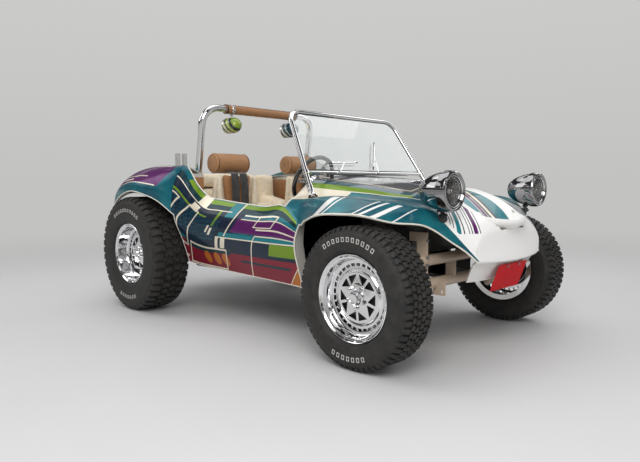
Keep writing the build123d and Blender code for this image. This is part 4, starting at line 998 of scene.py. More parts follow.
def nose_rows(first_row):
    """Rows down the upright front of the nose, from the foremost station's row of points."""
    top = [first_row[c] for c in range(deck_column * steps_across + 1)]
    side = [first_row[c] for c in range(deck_column * steps_across, rim_column * steps_across + 1)]
    corner, start_x = side[-1], top[0].x
    rows = [top]
    count = len(nose_profile) - 1
    for i in range(1, count + 1):
        share = i / count
        row = []
        for k, high in enumerate(top):
            edge = k / (len(top) - 1)
            at = side[0].lerp(corner, share)
            low_y = corner.y * edge
            z = high.z + (nose_profile[-1][0] + (corner.z - nose_profile[-1][0]) * edge - high.z) * share
            drop = (high.z - z) / (high.z - nose_profile[-1][0])
            profile = profile_at(nose_profile[0][0] - drop * (nose_profile[0][0] - nose_profile[-1][0]))
            y = high.y + (low_y - high.y) * share
            bow = max(0.0, 1 - (y / corner.y) ** 2)
            forward = front_axle.x + profile - start_x
            point = Vector((start_x + forward * bow ** 0.8, y, z))
            row.append(point if k < len(top) - 1 else side[0].lerp(corner, share))
        rows.append(row)
    for middle_z, middle_x, corner_y, corner_z, corner_x in chin_rows:
        row = []
        for k in range(len(top)):
            edge = k / (len(top) - 1)
            bow = max(0.0, 1 - edge ** 2) ** 0.8
            x = front_axle.x + corner_x + (middle_x - corner_x) * bow
            row.append(Vector((x, corner_y * edge, middle_z + (corner_z - middle_z) * edge)))
        rows.append(row)
    return rows


def dish_reach(point):
    """How far out a point lies seen from above: 1 on the crest of the dish's rim."""
    middle, length, width = dish_rim
    return math.hypot((point.x - front_axle.x - middle) / length, point.y / width)


def skin_below(skin, x, y):
    """What lies under a place of the car: whether the skin does, the point on it and its normal."""
    return skin.ray_cast(Vector((x, y, 1.2)), Vector((0, 0, -1)))[:3]


def make_dish(skin, finish):
    """The dished oval on the nose: flat floor, sloping wall, raised rim, and a lip over the front."""
    sides = 96
    edge_x = front_axle.x + 0.335

    def skin_height(x, y):
        hit, place = skin_below(skin, min(x, edge_x), y)[:2]
        return (place.z if hit else 0.7) - 0.3 * max(0.0, x - edge_x)

    def crest(angle):
        middle, length, width = dish_rim
        x, y = front_axle.x + middle + length * math.cos(angle), width * math.sin(angle)
        return Vector((x, y, skin_height(x, y) + rim_rise))

    def inside(share, angle):
        t = max(0.0, (share - floor_share) / (1 - floor_share))
        middle, length, width = (a + (b - a) * t for a, b in zip(dish_floor, dish_rim))
        scale = min(1.0, share / floor_share)
        x = front_axle.x + middle + length * scale * math.cos(angle)
        y = width * scale * math.sin(angle)
        low = skin_height(x, 0.19) - 0.004 - 0.028 * smooth_step(0.06, 0.34, x - front_axle.x)
        return Vector((x, y, low + (crest(angle).z - low) * smooth_step(0.0, 1.0, t)))

    def outside(beyond, drop, under, fall, angle):
        """Skirt ring: sinks into the skin round the sides and turns under the lip in front."""
        top = crest(angle)
        front = smooth_step(0.3, 0.37, top.x - front_axle.x)
        out = Vector((math.cos(angle), math.sin(angle), 0))
        side = top + out * beyond
        side.z = skin_height(side.x, side.y) + drop
        lip = top + Vector((under, out.y * under * 0.3, fall))
        return side.lerp(lip, front)

    deselect()
    shares = [
        0.02, 0.2, 0.4, 0.56, 0.64, 0.66, 0.68, 0.71, 0.75, 0.8, 0.85, 0.89, 0.92, 0.945, 0.965, 0.985, 1.0
    ]
    # Columns: out from the crest, over the skin, then ahead of the crest and down for the lip
    skirt = [(0.004, 0.0038, 0.002, -0.004), (0.009, 0.003, 0.003, -0.012), (0.015, 0.002, 0.001, -0.02),
             (0.021, 0.001, -0.005, -0.027), (0.027, 0.0, -0.02, -0.036), (0.033, -0.002, -0.036, -0.044),
             (0.037, -0.005, -0.06, -0.054)]
    angles = [math.tau * k / sides for k in range(sides)]
    rings = [[inside(share, a) for a in angles] for share in shares]
    rings += [[outside(*row, a) for a in angles] for row in skirt]
    bpy.ops.mesh.primitive_grid_add(x_subdivisions=sides, y_subdivisions=len(rings) - 1, size=1)
    dish = named("nose_dish")
    mesh = dish.data
    across = sides + 1
    layer = mesh.uv_layers.active or mesh.uv_layers.new(name="UVMap")
    reach = shares + [1.0] * len(skirt)
    for i, ring in enumerate(rings):
        for k in range(across):
            mesh.vertices[i * across + k].co = ring[k % sides]
    for loop in mesh.loops:
        layer.data[loop.index].uv = (nose_x, -1 - reach[loop.vertex_index // across])
    outward(dish)
    # The small hole left in the middle of the floor is closed
    edit(dish, "EDGE")
    edit_mode()
    bpy.ops.mesh.select_non_manifold()
    object_mode()
    middle = front_axle.x + dish_floor[0]
    for edge in mesh.edges:
        a, b = (mesh.vertices[i].co for i in edge.vertices)
        edge.select = edge.select and math.hypot(a.x - middle, a.y) < 0.05
    edit_mode()
    bpy.ops.mesh.edge_face_add()
    object_mode()
    for loop in mesh.loops:
        if mesh.uv_layers.active.data[loop.index].uv.y > -0.9:
            mesh.uv_layers.active.data[loop.index].uv = (nose_x, -1.0)
    if sum(p.normal.z * p.area for p in mesh.polygons) < 0:
        mesh.flip_normals()
    thickened(coated(dish, finish["paint"], finish["inner_shell"]), 0.004)
    done(smooth(dish, 50), "chassis", None)


def profile_at(z):
    for (z1, x1), (z0, x0) in zip(nose_profile, nose_profile[1:]):
        if z0 <= z <= z1:
            return x0 + (x1 - x0) * (z - z0) / (z1 - z0)
    return nose_profile[-1][1]


def woven(name, rows, keep):
    """Mesh over rows of {column: point}, from a grid with the unwanted squares taken out."""
    columns = sorted({c for row in rows for c in row})
    deselect()
    bpy.ops.mesh.primitive_grid_add(x_subdivisions=len(columns) - 1, y_subdivisions=len(rows) - 1, size=2)
    piece = named(name)
    mesh = piece.data
    across = len(columns)
    layer = mesh.uv_layers.active or mesh.uv_layers.new(name="UVMap")
    missing = set()
    spots = {}
    for i, row in enumerate(rows):
        for j, column in enumerate(columns):
            index = i * across + j
            if column in row:
                mesh.vertices[index].co = row[column]
                spots[index] = (row[column].x, column / steps_across)
            else:
                missing.add(index)
                mesh.vertices[index].co = (0, 0, -5)
    for loop in mesh.loops:
        layer.data[loop.index].uv = spots.get(loop.vertex_index, (0, 0))
    edit(piece, "FACE")
    for polygon in mesh.polygons:
        i, j = divmod(min(polygon.vertices), across)
        lost = any(vertex in missing for vertex in polygon.vertices)
        polygon.select = lost or not keep(i, columns[j])
    edit_mode()
    bpy.ops.mesh.delete(type="FACE")
    bpy.ops.mesh.select_mode(type="VERT")
    object_mode()
    used = {v for polygon in mesh.polygons for v in polygon.vertices}
    for vertex in mesh.vertices:
        vertex.select = vertex.index not in used
    edit_mode()
    bpy.ops.mesh.delete(type="VERT")
    object_mode()
    return piece


def facing_up(piece):
    """Turn a surface over if its normals point into the car."""
    total = 0.0
    for polygon in piece.data.polygons:
        side = 1 if polygon.center.y > 0 else -1
        total += (polygon.normal.z + polygon.normal.y * side) * polygon.area
    if total < 0:
        piece.data.flip_normals()
    return piece


def thickened(piece, wall, inner_material=1):
    """Give a surface its wall inwards, with the finish of the inner side and the rim."""
    return modified(piece, "SOLIDIFY", thickness=wall, offset=-1, use_even_offset=True,
                    material_offset=inner_material, material_offset_rim=inner_material)


def bead(name, points, radius=bead_radius):
    return tube(name, points, radius, resolution=3)


def mirrored(points):
    return [Vector((p.x, -p.y, p.z)) for p in points]


def make_body(finish):
    """The moulded shell, its dish, its bonnet and its beads."""
    rows = body_surface()
    bonnet_rows = range(5 * steps_along, 10 * steps_along)
    bonnet_columns = range(0, 2 * steps_across)
    outer = woven("body_shell_skin", rows, lambda i, c: not (i in bonnet_rows and c in bonnet_columns))
    lid = woven("bonnet_skin", rows, lambda i, c: i in bonnet_rows and c in bonnet_columns)
    front_rows_of_points = [dict(enumerate(row)) for row in nose_rows(rows[0])]
    front = woven("nose_skin", front_rows_of_points, lambda i, c: True)
    for loop in front.data.loops:
        front.data.uv_layers.active.data[loop.index].uv = (nose_x, 0.5)
    shell = join("body_shell_skin", [facing_up(both_sides(outer)), both_sides(front)])
    outward(shell)
    facing_up(shell)
    make_dish(shell, finish)

    def under_dish(centre, normal):
        limit = 1.03 if centre.x < front_axle.x + 0.3 else 0.955
        return centre.z > 0.65 and centre.x > front_axle.x and dish_reach(centre) < limit

    select_faces(shell, under_dish)
    bpy.ops.mesh.delete(type="FACE")
    object_mode()
    smooth(thickened(coated(shell, finish["paint"], finish["inner_shell"]), shell_wall), 60)
    lid = facing_up(outward(both_sides(lid)))
    thickened(coated(lid, finish["bonnet"], finish["inner_shell"]), shell_wall)
    done(smooth(lid, 60), "chassis", None, ["bonnet"])

    last = len(rows) - 1
    arch = 9 * steps_along
    rear_arch = next(i for i, row in enumerate(rows) if belly_column * steps_across in row
                     and 10 * steps_across in row and 10 * steps_across not in rows[min(i + 1, last)])
    lip = rim_column * steps_across
    belly = belly_column * steps_across
    sill = 10 * steps_across
    cockpit = 10 * steps_along
    near = [rows[i][lip] for i in range(arch + 1)]
    near += [rows[arch][c] for c in range(lip + 1, sill + 1)]
    near += [rows[i][sill] for i in range(arch + 1, rear_arch + 1)]
    near += [rows[rear_arch][c] for c in range(sill - 1, belly - 1, -1)]
    near += [rows[i][belly] for i in range(rear_arch + 1, last + 1)]
    near += [rows[last][c] for c in range(belly - 1, deck_column * steps_across - 1, -1)]
    rim = [rows[cockpit][c] for c in range(2 * steps_across, lip + 1)]
    rim += [rows[i][lip] for i in range(cockpit + 1, rear_arch + 1)]
    beads = []
    for route in (near, rim):
        inset = [p - Vector((0, math.copysign(0.003, p.y) if p.y else 0, 0)) for p in route]
        beads.append(bead("body_beading", inset))
        beads.append(bead("body_beading", mirrored(inset)))
    done(join("body_beading", beads), "chassis", finish["beading"])
    return shell


def make_tub(finish):
    """Inner walls round the cockpit and the rear seat, and the wall behind the front wheels."""
    shelf_z, deck_z = 0.62, 0.955
    wall_x, deck_x = fx(2.15), fx(2.25)
    lap = shell_wall / 2
    panels = []

    def panel(low, high, bevel=0.003):
        panels.append(block("tub", low, high, bevel))

    panel((deck_x, -tub_half - 0.012, deck_z), (wall_x, tub_half + 0.012, deck_z + shell_wall))
    panel((wall_x - shell_wall, -tub_half, shelf_z - lap), (wall_x, tub_half, deck_z + lap))
    panel((wall_x, -tub_half, shelf_z - shell_wall), (tub_front_x, tub_half, shelf_z))
    panel((tub_front_x, -0.61, 0.34), (tub_front_x + shell_wall, 0.61, shelf_z))
    for side in (-1, 1):
        y0, y1 = sorted((side * tub_half, side * (tub_half + shell_wall)))
        panel((deck_x, y0, shelf_z - lap), (tub_front_x, y1, deck_z + shell_wall))
        y0, y1 = sorted((side * tub_half, side * cockpit_half))
        panel((tub_front_x - lap, y0, shelf_z - lap), (tub_front_x + lap, y1, deck_z + 0.004), 0.002)
    tub = join("tub_walls", panels)
    wall = bulkhead()
    done(tub, "chassis", finish["inner_shell"])
    done(wall, "chassis", finish["inner_shell"])


def bulkhead():
    """Pressed wall behind the front wheels, its outline drawn from a disc."""
    half = [
        (0.606, 0.345), (0.648, 0.345), (0.684, 0.432), (0.708, 0.56), (0.695, 0.68), (0.67, 0.73),
        (0.63, 0.78)
    ]
    outline = half + [(-y, z) for y, z in reversed(half)]
    deselect()
    bpy.ops.mesh.primitive_circle_add(vertices=len(outline), radius=0.5, fill_type="NGON")
    wall = named("front_bulkhead")
    for vertex, (y, z) in zip(wall.data.vertices, outline):
        vertex.co = (fx(0.484 + shell_wall), y, z)
    edit_all()
    bpy.ops.mesh.extrude_region_move(TRANSFORM_OT_translate={"value": (shell_wall, 0, 0)})
    object_mode()
    outward(wall)
    select_faces(wall, lambda centre, normal: abs(normal.x) > 0.9)
    bpy.ops.mesh.inset(thickness=0.05, depth=0.0)
    bpy.ops.mesh.inset(thickness=0.012, depth=-0.004)
    object_mode()
    return smooth(wall)


# Wheels: made about the origin with the axle along Y and the outer face towards +Y

def wheel_matrix(x, y, z, side):
    turn = Matrix.Rotation(0 if side > 0 else math.pi, 4, "Z")
    return shift(x, side * y, z) @ turn


onto_y = Matrix.Rotation(-math.pi / 2, 4, "X")


def tyre_carcass(name, radius, width, tread, rim_half, lug):
    """Casing with a rounded wall, moulding rings and a bead that meets the rim."""
    floor = radius - lug
    half, middle = width / 2, (0.237 + floor) / 2
    wall = [
        (0.1935, rim_half - 0.014), (0.204, rim_half - 0.01), (0.2145, rim_half - 0.006),
        (0.2205, rim_half + 0.004), (0.229, half * 0.965), (0.232, half * 0.975), (0.2345, half * 0.975),
        (0.237, half * 0.985), (middle - 0.01, half), (middle + 0.002, half), (floor - 0.04, half * 0.985),
        (floor - 0.0375, half * 0.99), (floor - 0.0345, half * 0.985), (floor - 0.022, half * 0.955),
        (floor - 0.01, tread / 2 + 0.004), (floor - 0.003, tread / 2 - 0.01), (floor, tread / 2 - 0.026),
    ]
    rings = [(r, -y) for r, y in wall] + [(r, y) for r, y in reversed(wall)]
    casing = turned(name, rings, 120, closed=False)
    casing.data.transform(onto_y)
    return smooth(outward(casing), 40)


def tread_block(radius, lug, y0, y1, along, kink, phase, shoulder=0.0):
    """One moulded block of tread at the top of the tyre, with a kink in its middle and rounded edges."""
    deselect()
    bpy.ops.mesh.primitive_cube_add(size=1)
    piece = named("tread_block")
    piece.data.transform(Matrix.Diagonal((along, y1 - y0, lug + 0.008, 1)))
    piece.data.transform(shift(0, (y0 + y1) / 2, radius - (lug + 0.008) / 2))
    edit_all()
    bpy.ops.mesh.subdivide(number_cuts=1)
    object_mode()
    outer = max(abs(y0), abs(y1))
    for vertex in piece.data.vertices:
        co = vertex.co
        if abs(co.y - (y0 + y1) / 2) < 1e-4:
            co.x += kink
        if abs(abs(co.y) - outer) < 1e-4 and shoulder:
            co.z -= shoulder
        if co.z > radius - 0.002:
            co.x *= 0.93
    select_edges(piece, lambda a, b: a.z > radius - lug and b.z > radius - lug)
    bpy.ops.mesh.bevel(offset=0.0012, segments=1, affect="EDGES")
    object_mode()
    piece.data.transform(Matrix.Rotation(phase, 4, "Y"))
    return piece


def front_tread(radius, lug, tread, count):
    """Four rows of kinked blocks and serrated shoulders."""
    pitch = math.tau / count
    length = pitch * radius * 0.8
    half = tread / 2
    blocks = []
    # Columns: inner y, outer y, length share, kink, phase share, shoulder drop
    rows = [(0.003, 0.03, 1.0, 0.006, 0.0, 0.0), (-0.03, -0.003, 1.0, -0.006, 0.5, 0.0),
            (0.036, 0.062, 0.96, 0.005, 0.35, 0.0), (-0.062, -0.036, 0.96, -0.005, 0.85, 0.0),
            (0.068, half + 0.004, 0.84, 0.003, 0.1, 0.01), (-half - 0.004, -0.068, 0.84, -0.003, 0.6, 0.01)]
    for y0, y1, share, kink, phase, shoulder in rows:
        blocks.append(tread_block(radius, lug, y0, y1, length * share, kink, pitch * phase, shoulder))
    for side in (-1, 1):
        ear = tread_block(radius - 0.014, 0.012, side * (half + 0.001), side * (half + 0.01), length * 0.7, 0,
                          pitch * (0.1 if side > 0 else 0.6), 0.012)
        blocks.append(ear)
    return ring_of(join("tread", blocks), count)


def rear_tread(radius, lug, tread, count):
    """Chunky shoulder lugs, long and short in turn, over interlocking middle blocks."""
    pitch = math.tau / count
    length = pitch * radius * 0.66
    half = tread / 2
    blocks = []
    for side in (-1, 1):
        offset = 0.0 if side > 0 else 0.5
        for k, reach in ((0, 0.062), (1, 0.05)):
            phase = pitch * (offset + k)
            y0, y1 = sorted((side * (half - reach), side * (half + 0.007)))
            blocks.append(tread_block(radius, lug, y0, y1, length, side * 0.006, phase, 0.012))
            y0, y1 = sorted((side * (half + 0.002), side * (half + 0.009)))
            blocks.append(tread_block(radius - 0.024, 0.022, y0, y1, length * 0.72, 0, phase, 0.012))
            y0, y1 = sorted((side * 0.004, side * (half - reach - 0.01)))
            blocks.append(tread_block(radius, lug, y0, y1, length * 0.86, side * 0.012, phase + pitch * 0.32))
    return ring_of(join("tread", blocks), count // 2)


def sidewall_marks(radius, depth, mark_radius):
    """Two arcs of small outlined bars raised on the outer wall."""
    deselect()
    bpy.ops.mesh.primitive_cube_add(size=1)
    mark = named("wall_mark")
    mark.data.transform(Matrix.Diagonal((0.017, 0.0016, 0.022, 1)))
    select_faces(mark, lambda centre, normal: normal.y > 0.9)
    bpy.ops.mesh.inset(thickness=0.0032, depth=0.0)
    bpy.ops.mesh.extrude_region_move(TRANSFORM_OT_translate={"value": (0, -0.0013, 0)})
    object_mode()
    mark.data.transform(shift(0, depth, mark_radius))
    marks = []
    # Columns: middle of the arc in degrees, number of bars
    for middle, count in ((0, 11), (180, 7)):
        for k in range(count):
            angle = math.radians(middle + (k - (count - 1) / 2) * 6.4)
            marks.append(copy_of(mark, "wall_mark", Matrix.Rotation(angle, 4, "Y")))
    bpy.data.objects.remove(mark)
    return join("wall_marks", marks)


def rim_barrel(half):
    """Polished barrel: back flange, wells and the deep outer lip down to the slotted ring."""
    rings = [
        (0.179, -half + 0.004), (0.209, -half), (0.2125, -half + 0.003), (0.2125, -half + 0.008),
        (0.195, -half + 0.009), (0.19, -half + 0.012), (0.188, -0.03), (0.18, -0.02), (0.18, 0.016),
        (0.188, 0.028), (0.19, half - 0.012), (0.195, half - 0.009), (0.2115, half - 0.0085),
        (0.2125, half - 0.005), (0.212, half - 0.0015), (0.2095, half), (0.2065, half - 0.001),
        (0.204, half - 0.005), (0.1985, half - 0.009), (0.194, half - 0.016), (0.1925, half - 0.026),
        (0.187, 0.05), (0.184, 0.04), (0.18, 0.034), (0.176, 0.0325), (0.174, 0.026),
        (0.172, 0.01), (0.174, -0.02), (0.176, -half + 0.02),
    ]
    barrel = turned("rim_barrel", rings + [rings[0]], 128, closed=False)
    barrel.data.transform(onto_y)
    return smooth(outward(barrel), 40)


def slotted_ring():
    """Flat ring between the lip and the star, with thirty small slots through it."""
    slots, per_slot = 30, 4
    rings = [(0.1775, 0.0325), (0.166, 0.0315), (0.164, 0.0305), (0.15, 0.029), (0.147, 0.029),
             (0.138, 0.03), (0.133, 0.034), (0.129, 0.0385), (0.126, 0.0395), (0.1225, 0.0385)]
    ring = turned("slotted_ring", rings, sides=slots * per_slot, closed=False)
    sector = math.tau / (slots * per_slot)

    def in_slot(centre, normal):
        index = int((math.atan2(centre.y, centre.x) % math.tau) / sector)
        return 0.15 < centre.xy.length < 0.164 and index % per_slot != 0

    select_faces(ring, in_slot)
    bpy.ops.mesh.delete(type="FACE")
    object_mode()
    ring.data.transform(onto_y)
    outward(ring)
    if sum(p.normal.y * p.area for p in ring.data.polygons) < 0:
        ring.data.flip_normals()
    thickened(ring, 0.005, 0)
    return smooth(ring, 30)


def star():
    """Centre of the wheel: five forked arms between ten wedge-shaped windows."""
    rings = [(0.1235, 0.033), (0.1235, 0.0385), (0.118, 0.04), (0.112, 0.0385), (0.068, 0.043),
             (0.062, 0.045), (0.045, 0.046), (0.04, 0.0455)]
    back = [(0.04, 0.038), (0.062, 0.037), (0.112, 0.031)]
    body = turned("star", rings + back + [rings[0]], 120, closed=False)
    cutters = []
    step = math.tau / 10
    for i in range(5):
        for flip in (1, -1):
            deselect()
            bpy.ops.mesh.primitive_cylinder_add(vertices=3, radius=0.03, depth=0.06, location=(0, 0, 0.04))
            wedge = settle(named("cutter"))
            corners = [(0.066, 0.105), (0.112, 0.062), (0.112, step - 0.062)]
            for vertex in wedge.data.vertices:
                r, angle = corners[vertex.index // 2]
                a = 2 * i * step + flip * angle
                vertex.co = (r * math.sin(a), r * math.cos(a), vertex.co.z)
            outward(wedge)
            select_edges(wedge, lambda a, b: abs(a.z - b.z) > 0.03)
            bpy.ops.mesh.bevel(offset=0.005, segments=3, affect="EDGES")
            object_mode()
            cutters.append(wedge)
    cut_out(body, cutters)
    body.data.transform(onto_y)
    return smooth(body, 30)


def cap_and_nuts():
    """Cone-shaped centre cap ringed by five domed nuts and their washers."""
    cap = turned("centre_cap", [
        (0.042, 0.044), (0.042, 0.05), (0.0385, 0.0525), (0.0365, 0.053), (0.0345, 0.058), (0.028, 0.073),
        (0.0265, 0.0755), (0.0225, 0.0765), (0.0205, 0.0745), (0.01, 0.0735), (0.002, 0.0732)
    ], 64)
    nut = turned("nut", [(0.0125, 0.044), (0.0125, 0.0465), (0.0095, 0.047), (0.0092, 0.058), (0.008, 0.063),
                         (0.005, 0.0665), (0.001, 0.0675)], 6, place=shift(0, 0.0535, 0))
    nuts = ring_of(nut, 5, "Z")
    whole = join("centre_cap", [smooth(cap, 30), smooth(nuts, 25)])
    whole.data.transform(onto_y)
    return whole


def make_wheels(finish):
    # Columns: end, centre x, wheel y, radius, width, tread, rim half width, lug height
    ends = [
        ("front", front_axle.x, 0.715, front_tyre_radius, 0.220, 0.182, 0.089, 0.010),
        ("rear", rear_axle.x, 0.762, rear_tyre_radius, 0.272, 0.238, 0.119, 0.015),
    ]
    centre = join("wheel_centre", [slotted_ring(), star(), cap_and_nuts()])
    for end, x, y, radius, width, tread, rim_half, lug in ends:
        casing = tyre_carcass("tyre", radius, width, tread, rim_half, lug)
        if end == "front":
            blocks = front_tread(radius, lug, tread, 60)
        else:
            blocks = rear_tread(radius, lug, tread, 44)
        casing = join("tyre", [casing, smooth(blocks, 30)])
        mark_radius = (0.237 + radius - lug) / 2 - 0.004
        marks = sidewall_marks(radius, width / 2, mark_radius)
        rim = join("rim", [rim_barrel(rim_half), copy_of(centre, "rim")])
        for side, name in ((-1, "right"), (1, "left")):
            matrix = wheel_matrix(x, y, radius, side)
            body = f"wheel_{end}_{name}"
            tyre = copy_of(casing, f"tyre_{end}_{name}_moulded", matrix)
            done(tyre, body, finish["rubber"], [f"tyre_{end}_{name}"])
            done(copy_of(marks, f"wall_marks_{end}_{name}", matrix), body, finish["wall_white"])
            shine = copy_of(rim, f"rim_{end}_{name}_polished", matrix)
            done(shine, body, finish["rim_chrome"], [f"rim_{end}_{name}"])
        for piece in (casing, marks, rim):
            bpy.data.objects.remove(piece)
    bpy.data.objects.remove(centre)


# Lamps, screen, hoop and controls

onto_x = Matrix.Rotation(math.pi / 2, 4, "Y")


def make_headlamps(finish, skin):
    """Bullet lamps: shell, bezel, inner ring, faceted bowl, bulb, ribbed glass and a black stand."""
    face_x, lamp_y, lamp_z = fx(-0.334), 0.4487, 0.8415
    place = shift(face_x, lamp_y, lamp_z) @ onto_x
    # Columns: radius, ahead of the bezel's face
    shell = turned("headlamp_shells_spun", [
        (0.002, -0.1895), (0.018, -0.1885), (0.034, -0.1835), (0.05, -0.172), (0.064, -0.153),
        (0.076, -0.127), (0.0845, -0.1), (0.09, -0.074), (0.0925, -0.052), (0.0928, -0.049), (0.096, -0.0485),
        (0.0978, -0.046), (0.098, -0.023), (0.0968, -0.012), (0.0935, -0.004), (0.0885, -0.0002),
        (0.0835, -0.001), (0.0795, -0.0045), (0.0775, -0.0095), (0.0768, -0.018), (0.086, -0.03),
        (0.08, -0.1), (0.002, -0.185)
    ], 72)
    ring = turned("headlamp_rings", [(0.0768, -0.017), (0.0766, -0.0095), (0.075, -0.0065), (0.073, -0.006),
                                     (0.0712, -0.008), (0.0705, -0.012), (0.0705, -0.017)], 72, closed=False)
    bowl = turned("headlamp_bowls", [(0.0765, -0.0175), (0.07, -0.018), (0.066, -0.026), (0.056, -0.043),
                                     (0.04, -0.056), (0.02, -0.064), (0.002, -0.066)], 24, closed=False)
    bulb = turned("headlamp_bulbs", [(0.009, -0.064), (0.009, -0.04), (0.013, -0.0385), (0.013, -0.03),
                                     (0.01, -0.026), (0.005, -0.024), (0.001, -0.0235)], 24)
    glass = turned("headlamp_glasses", [
        (0.0005, -0.0025), (0.03, -0.004), (0.052, -0.0075), (0.066, -0.012), (0.0702, -0.0145),
        (0.0702, -0.017), (0.066, -0.0148), (0.052, -0.0105), (0.03, -0.007), (0.0005, -0.0055)
    ], 64)
    dress([
        # The shells' chrome is tinted dark: painted shade, standing in for the dark surroundings that the
        # chrome reflects
        (smooth(shell, 28), "lamp_chrome_painted_dark", "chrome", ["headlamp_shells"]),
        (smooth(ring, 40), "chrome", "chrome", []),
        # The reflector bowls are near-black metal: painted shade for the dark inside of the lamp
        (bowl, "lamp_bowl", "chrome", []),
        (smooth(bulb, 30), "chrome", "chrome", []),
        (smooth(glass, 30), "lamp_glass", "lens", ["headlamp_lenses"]),
    ], place, finish, twins=True)
    stand_x, foot_y = face_x - 0.084, 0.424
    foot, normal = skin_below(skin, stand_x, foot_y)[1:]
    base = turned("headlamp_stands", [
        (0.024, -0.004), (0.024, 0.003), (0.0215, 0.006), (0.013, 0.009), (0.0105, 0.016), (0.0105, 0.03)
    ], 32, place=Matrix.Translation(foot) @ laid_along(normal))
    stem = tube("headlamp_stands", [foot + normal * 0.016, foot + Vector((0, 0.006, 0.034)),
                                    (stand_x, lamp_y - 0.004, lamp_z - 0.086)], 0.0095, 0.012)
    nut = turned("headlamp_stands", [(0.0165, -0.006), (0.0165, 0.004), (0.013, 0.007)], 6,
                 place=shift(stand_x, lamp_y - 0.004, lamp_z - 0.093))
    stand = join("headlamp_stands", [smooth(base, 30), stem, smooth(nut, 20)])
    done(both_sides(stand), "chassis", finish["black_trim"])


def make_pods(finish):
    """Speaker pods under the hoop: painted bullet, chrome rear ring, mesh grille and a clamp."""
    pod_share = 0.86
    body = turned("pod_bodies", [
        (0.002, 0.0955), (0.018, 0.0935), (0.034, 0.086), (0.048, 0.073), (0.058, 0.056), (0.064, 0.035),
        (0.0658, 0.015), (0.0658, -0.03), (0.064, -0.042), (0.061, -0.044), (0.002, -0.045)
    ], 64)
    ring = turned("pod_rings", [
        (0.06, -0.043), (0.0655, -0.043), (0.066, -0.047), (0.0655, -0.056), (0.062, -0.0595),
        (0.056, -0.0598), (0.053, -0.057), (0.0525, -0.048)
    ], sides=64, closed=False)
    grille = turned("pod_grilles", [(0.0535, -0.049), (0.04, -0.053), (0.02, -0.0545), (0.015, -0.054),
                                    (0.014, -0.0575), (0.006, -0.059), (0.0005, -0.0592)], 48)
    stalk = turned("pod_clamps", [
        (0.0085, 0.05), (0.0085, 0.068), (0.013, 0.07), (0.013, 0.0785), (0.0085, 0.08)
    ], sides=24)
    clasp = turned("pod_clamps", [(0.0335, -0.011), (0.035, -0.009), (0.035, 0.009), (0.0335, 0.011)], 48,
                   closed=False, place=shift(0, 0, hoop_z - pod_z) @ onto_y)
    bolt = turned("pod_clamps", [(0.006, -0.004), (0.006, 0.004), (0.004, 0.006)], 6,
                  place=shift(0, 0, hoop_z - pod_z - 0.04) @ onto_x)
    clamp = join("pod_clamps", [smooth(stalk, 30), smooth(clasp, 30), bolt])
    for piece in (body, ring, grille):
        piece.data.transform(onto_x @ Matrix.Scale(pod_share, 4))
    dress([
        (smooth(body, 40), "pod_paint", "pod_paint", ["speaker_pods"]),
        (smooth(ring, 30), "chrome", "chrome", []),
        (smooth(grille, 30), "grille", "black_trim", []),
        (clamp, "chrome", "chrome", []),
    ], shift(hoop_x, pod_y, pod_z), finish, twins=True)


def make_hoop(finish):
    """Leather sleeve laced along the hoop's top tube, and the bolted feet."""
    half, steps = 0.335, 26
    rings = [(0.0255, -half), (0.03, -half), (0.0325, -half + 0.005), (0.0328, -half + 0.02)]
    for k in range(1, steps):
        # The hide is a little lumpy between its two ends
        y = -half + 0.02 + (2 * half - 0.04) * k / steps
        rings.append((0.0318 + 0.0011 * math.sin(k * 2.4) * math.sin(k * 0.7), y))
    rings += [(0.0328, half - 0.02), (0.0325, half - 0.005), (0.03, half), (0.0255, half)]
    sleeve = turned("hoop_sleeve", rings, sides=48, closed=False)
    stitches = []
    stitch = turned("hoop_lacing", [(0.0016, -0.007), (0.0022, -0.004), (0.0022, 0.004), (0.0016, 0.007)], 8)
    for k in range(40):
        y = -0.312 + 0.016 * k
        turn = Matrix.Rotation(math.radians(34 if k % 2 else -34), 4, "X")
        matrix = shift(0.0325, 0, y) @ turn
        stitches.append(copy_of(stitch, "hoop_lacing", Matrix.Rotation(math.radians(-62), 4, "Z") @ matrix))
    bpy.data.objects.remove(stitch)
    lacing = join("hoop_lacing", stitches)
    ends = []
    for at in (-0.327, 0.327):
        ends.append(turned("hoop_sleeve_ends", [(0.033, at - 0.008), (0.034, at - 0.006), (0.034, at + 0.006),
                                                (0.033, at + 0.008)], 48, closed=False))
    bands = join("hoop_sleeve_ends", ends)
    dress([
        (smooth(sleeve, 60), "tan_leather", "tan_leather", ["roll_bar_pad"]),
        (smooth(lacing, 40), "dark_leather", "tan_leather", []),
        (smooth(bands, 40), "dark_leather", "tan_leather", []),
    ], shift(hoop_x, 0, hoop_z) @ onto_y, finish)
    foot_x, foot_y, foot_z = fx(1.753), 0.515, 0.6363
    head = [(0.0105, 0.0), (0.0105, 0.0015), (0.0078, 0.002), (0.0078, 0.007), (0.006, 0.0085)]
    bolts = [turned("hoop_bolts", head, 6, place=shift(foot_x + dx, foot_y + dy, foot_z))
             for dx in (-0.036, 0.036) for dy in (-0.02, 0.02)]
    collar = turned("hoop_bolts", [(0.03, -0.002), (0.03, 0.004), (0.0262, 0.01)], 32,
                    place=shift(foot_x, foot_y, foot_z))
    feet = both_sides(join("hoop_bolts", bolts + [smooth(collar, 30)]))
    done(feet, "chassis", finish["chrome"])


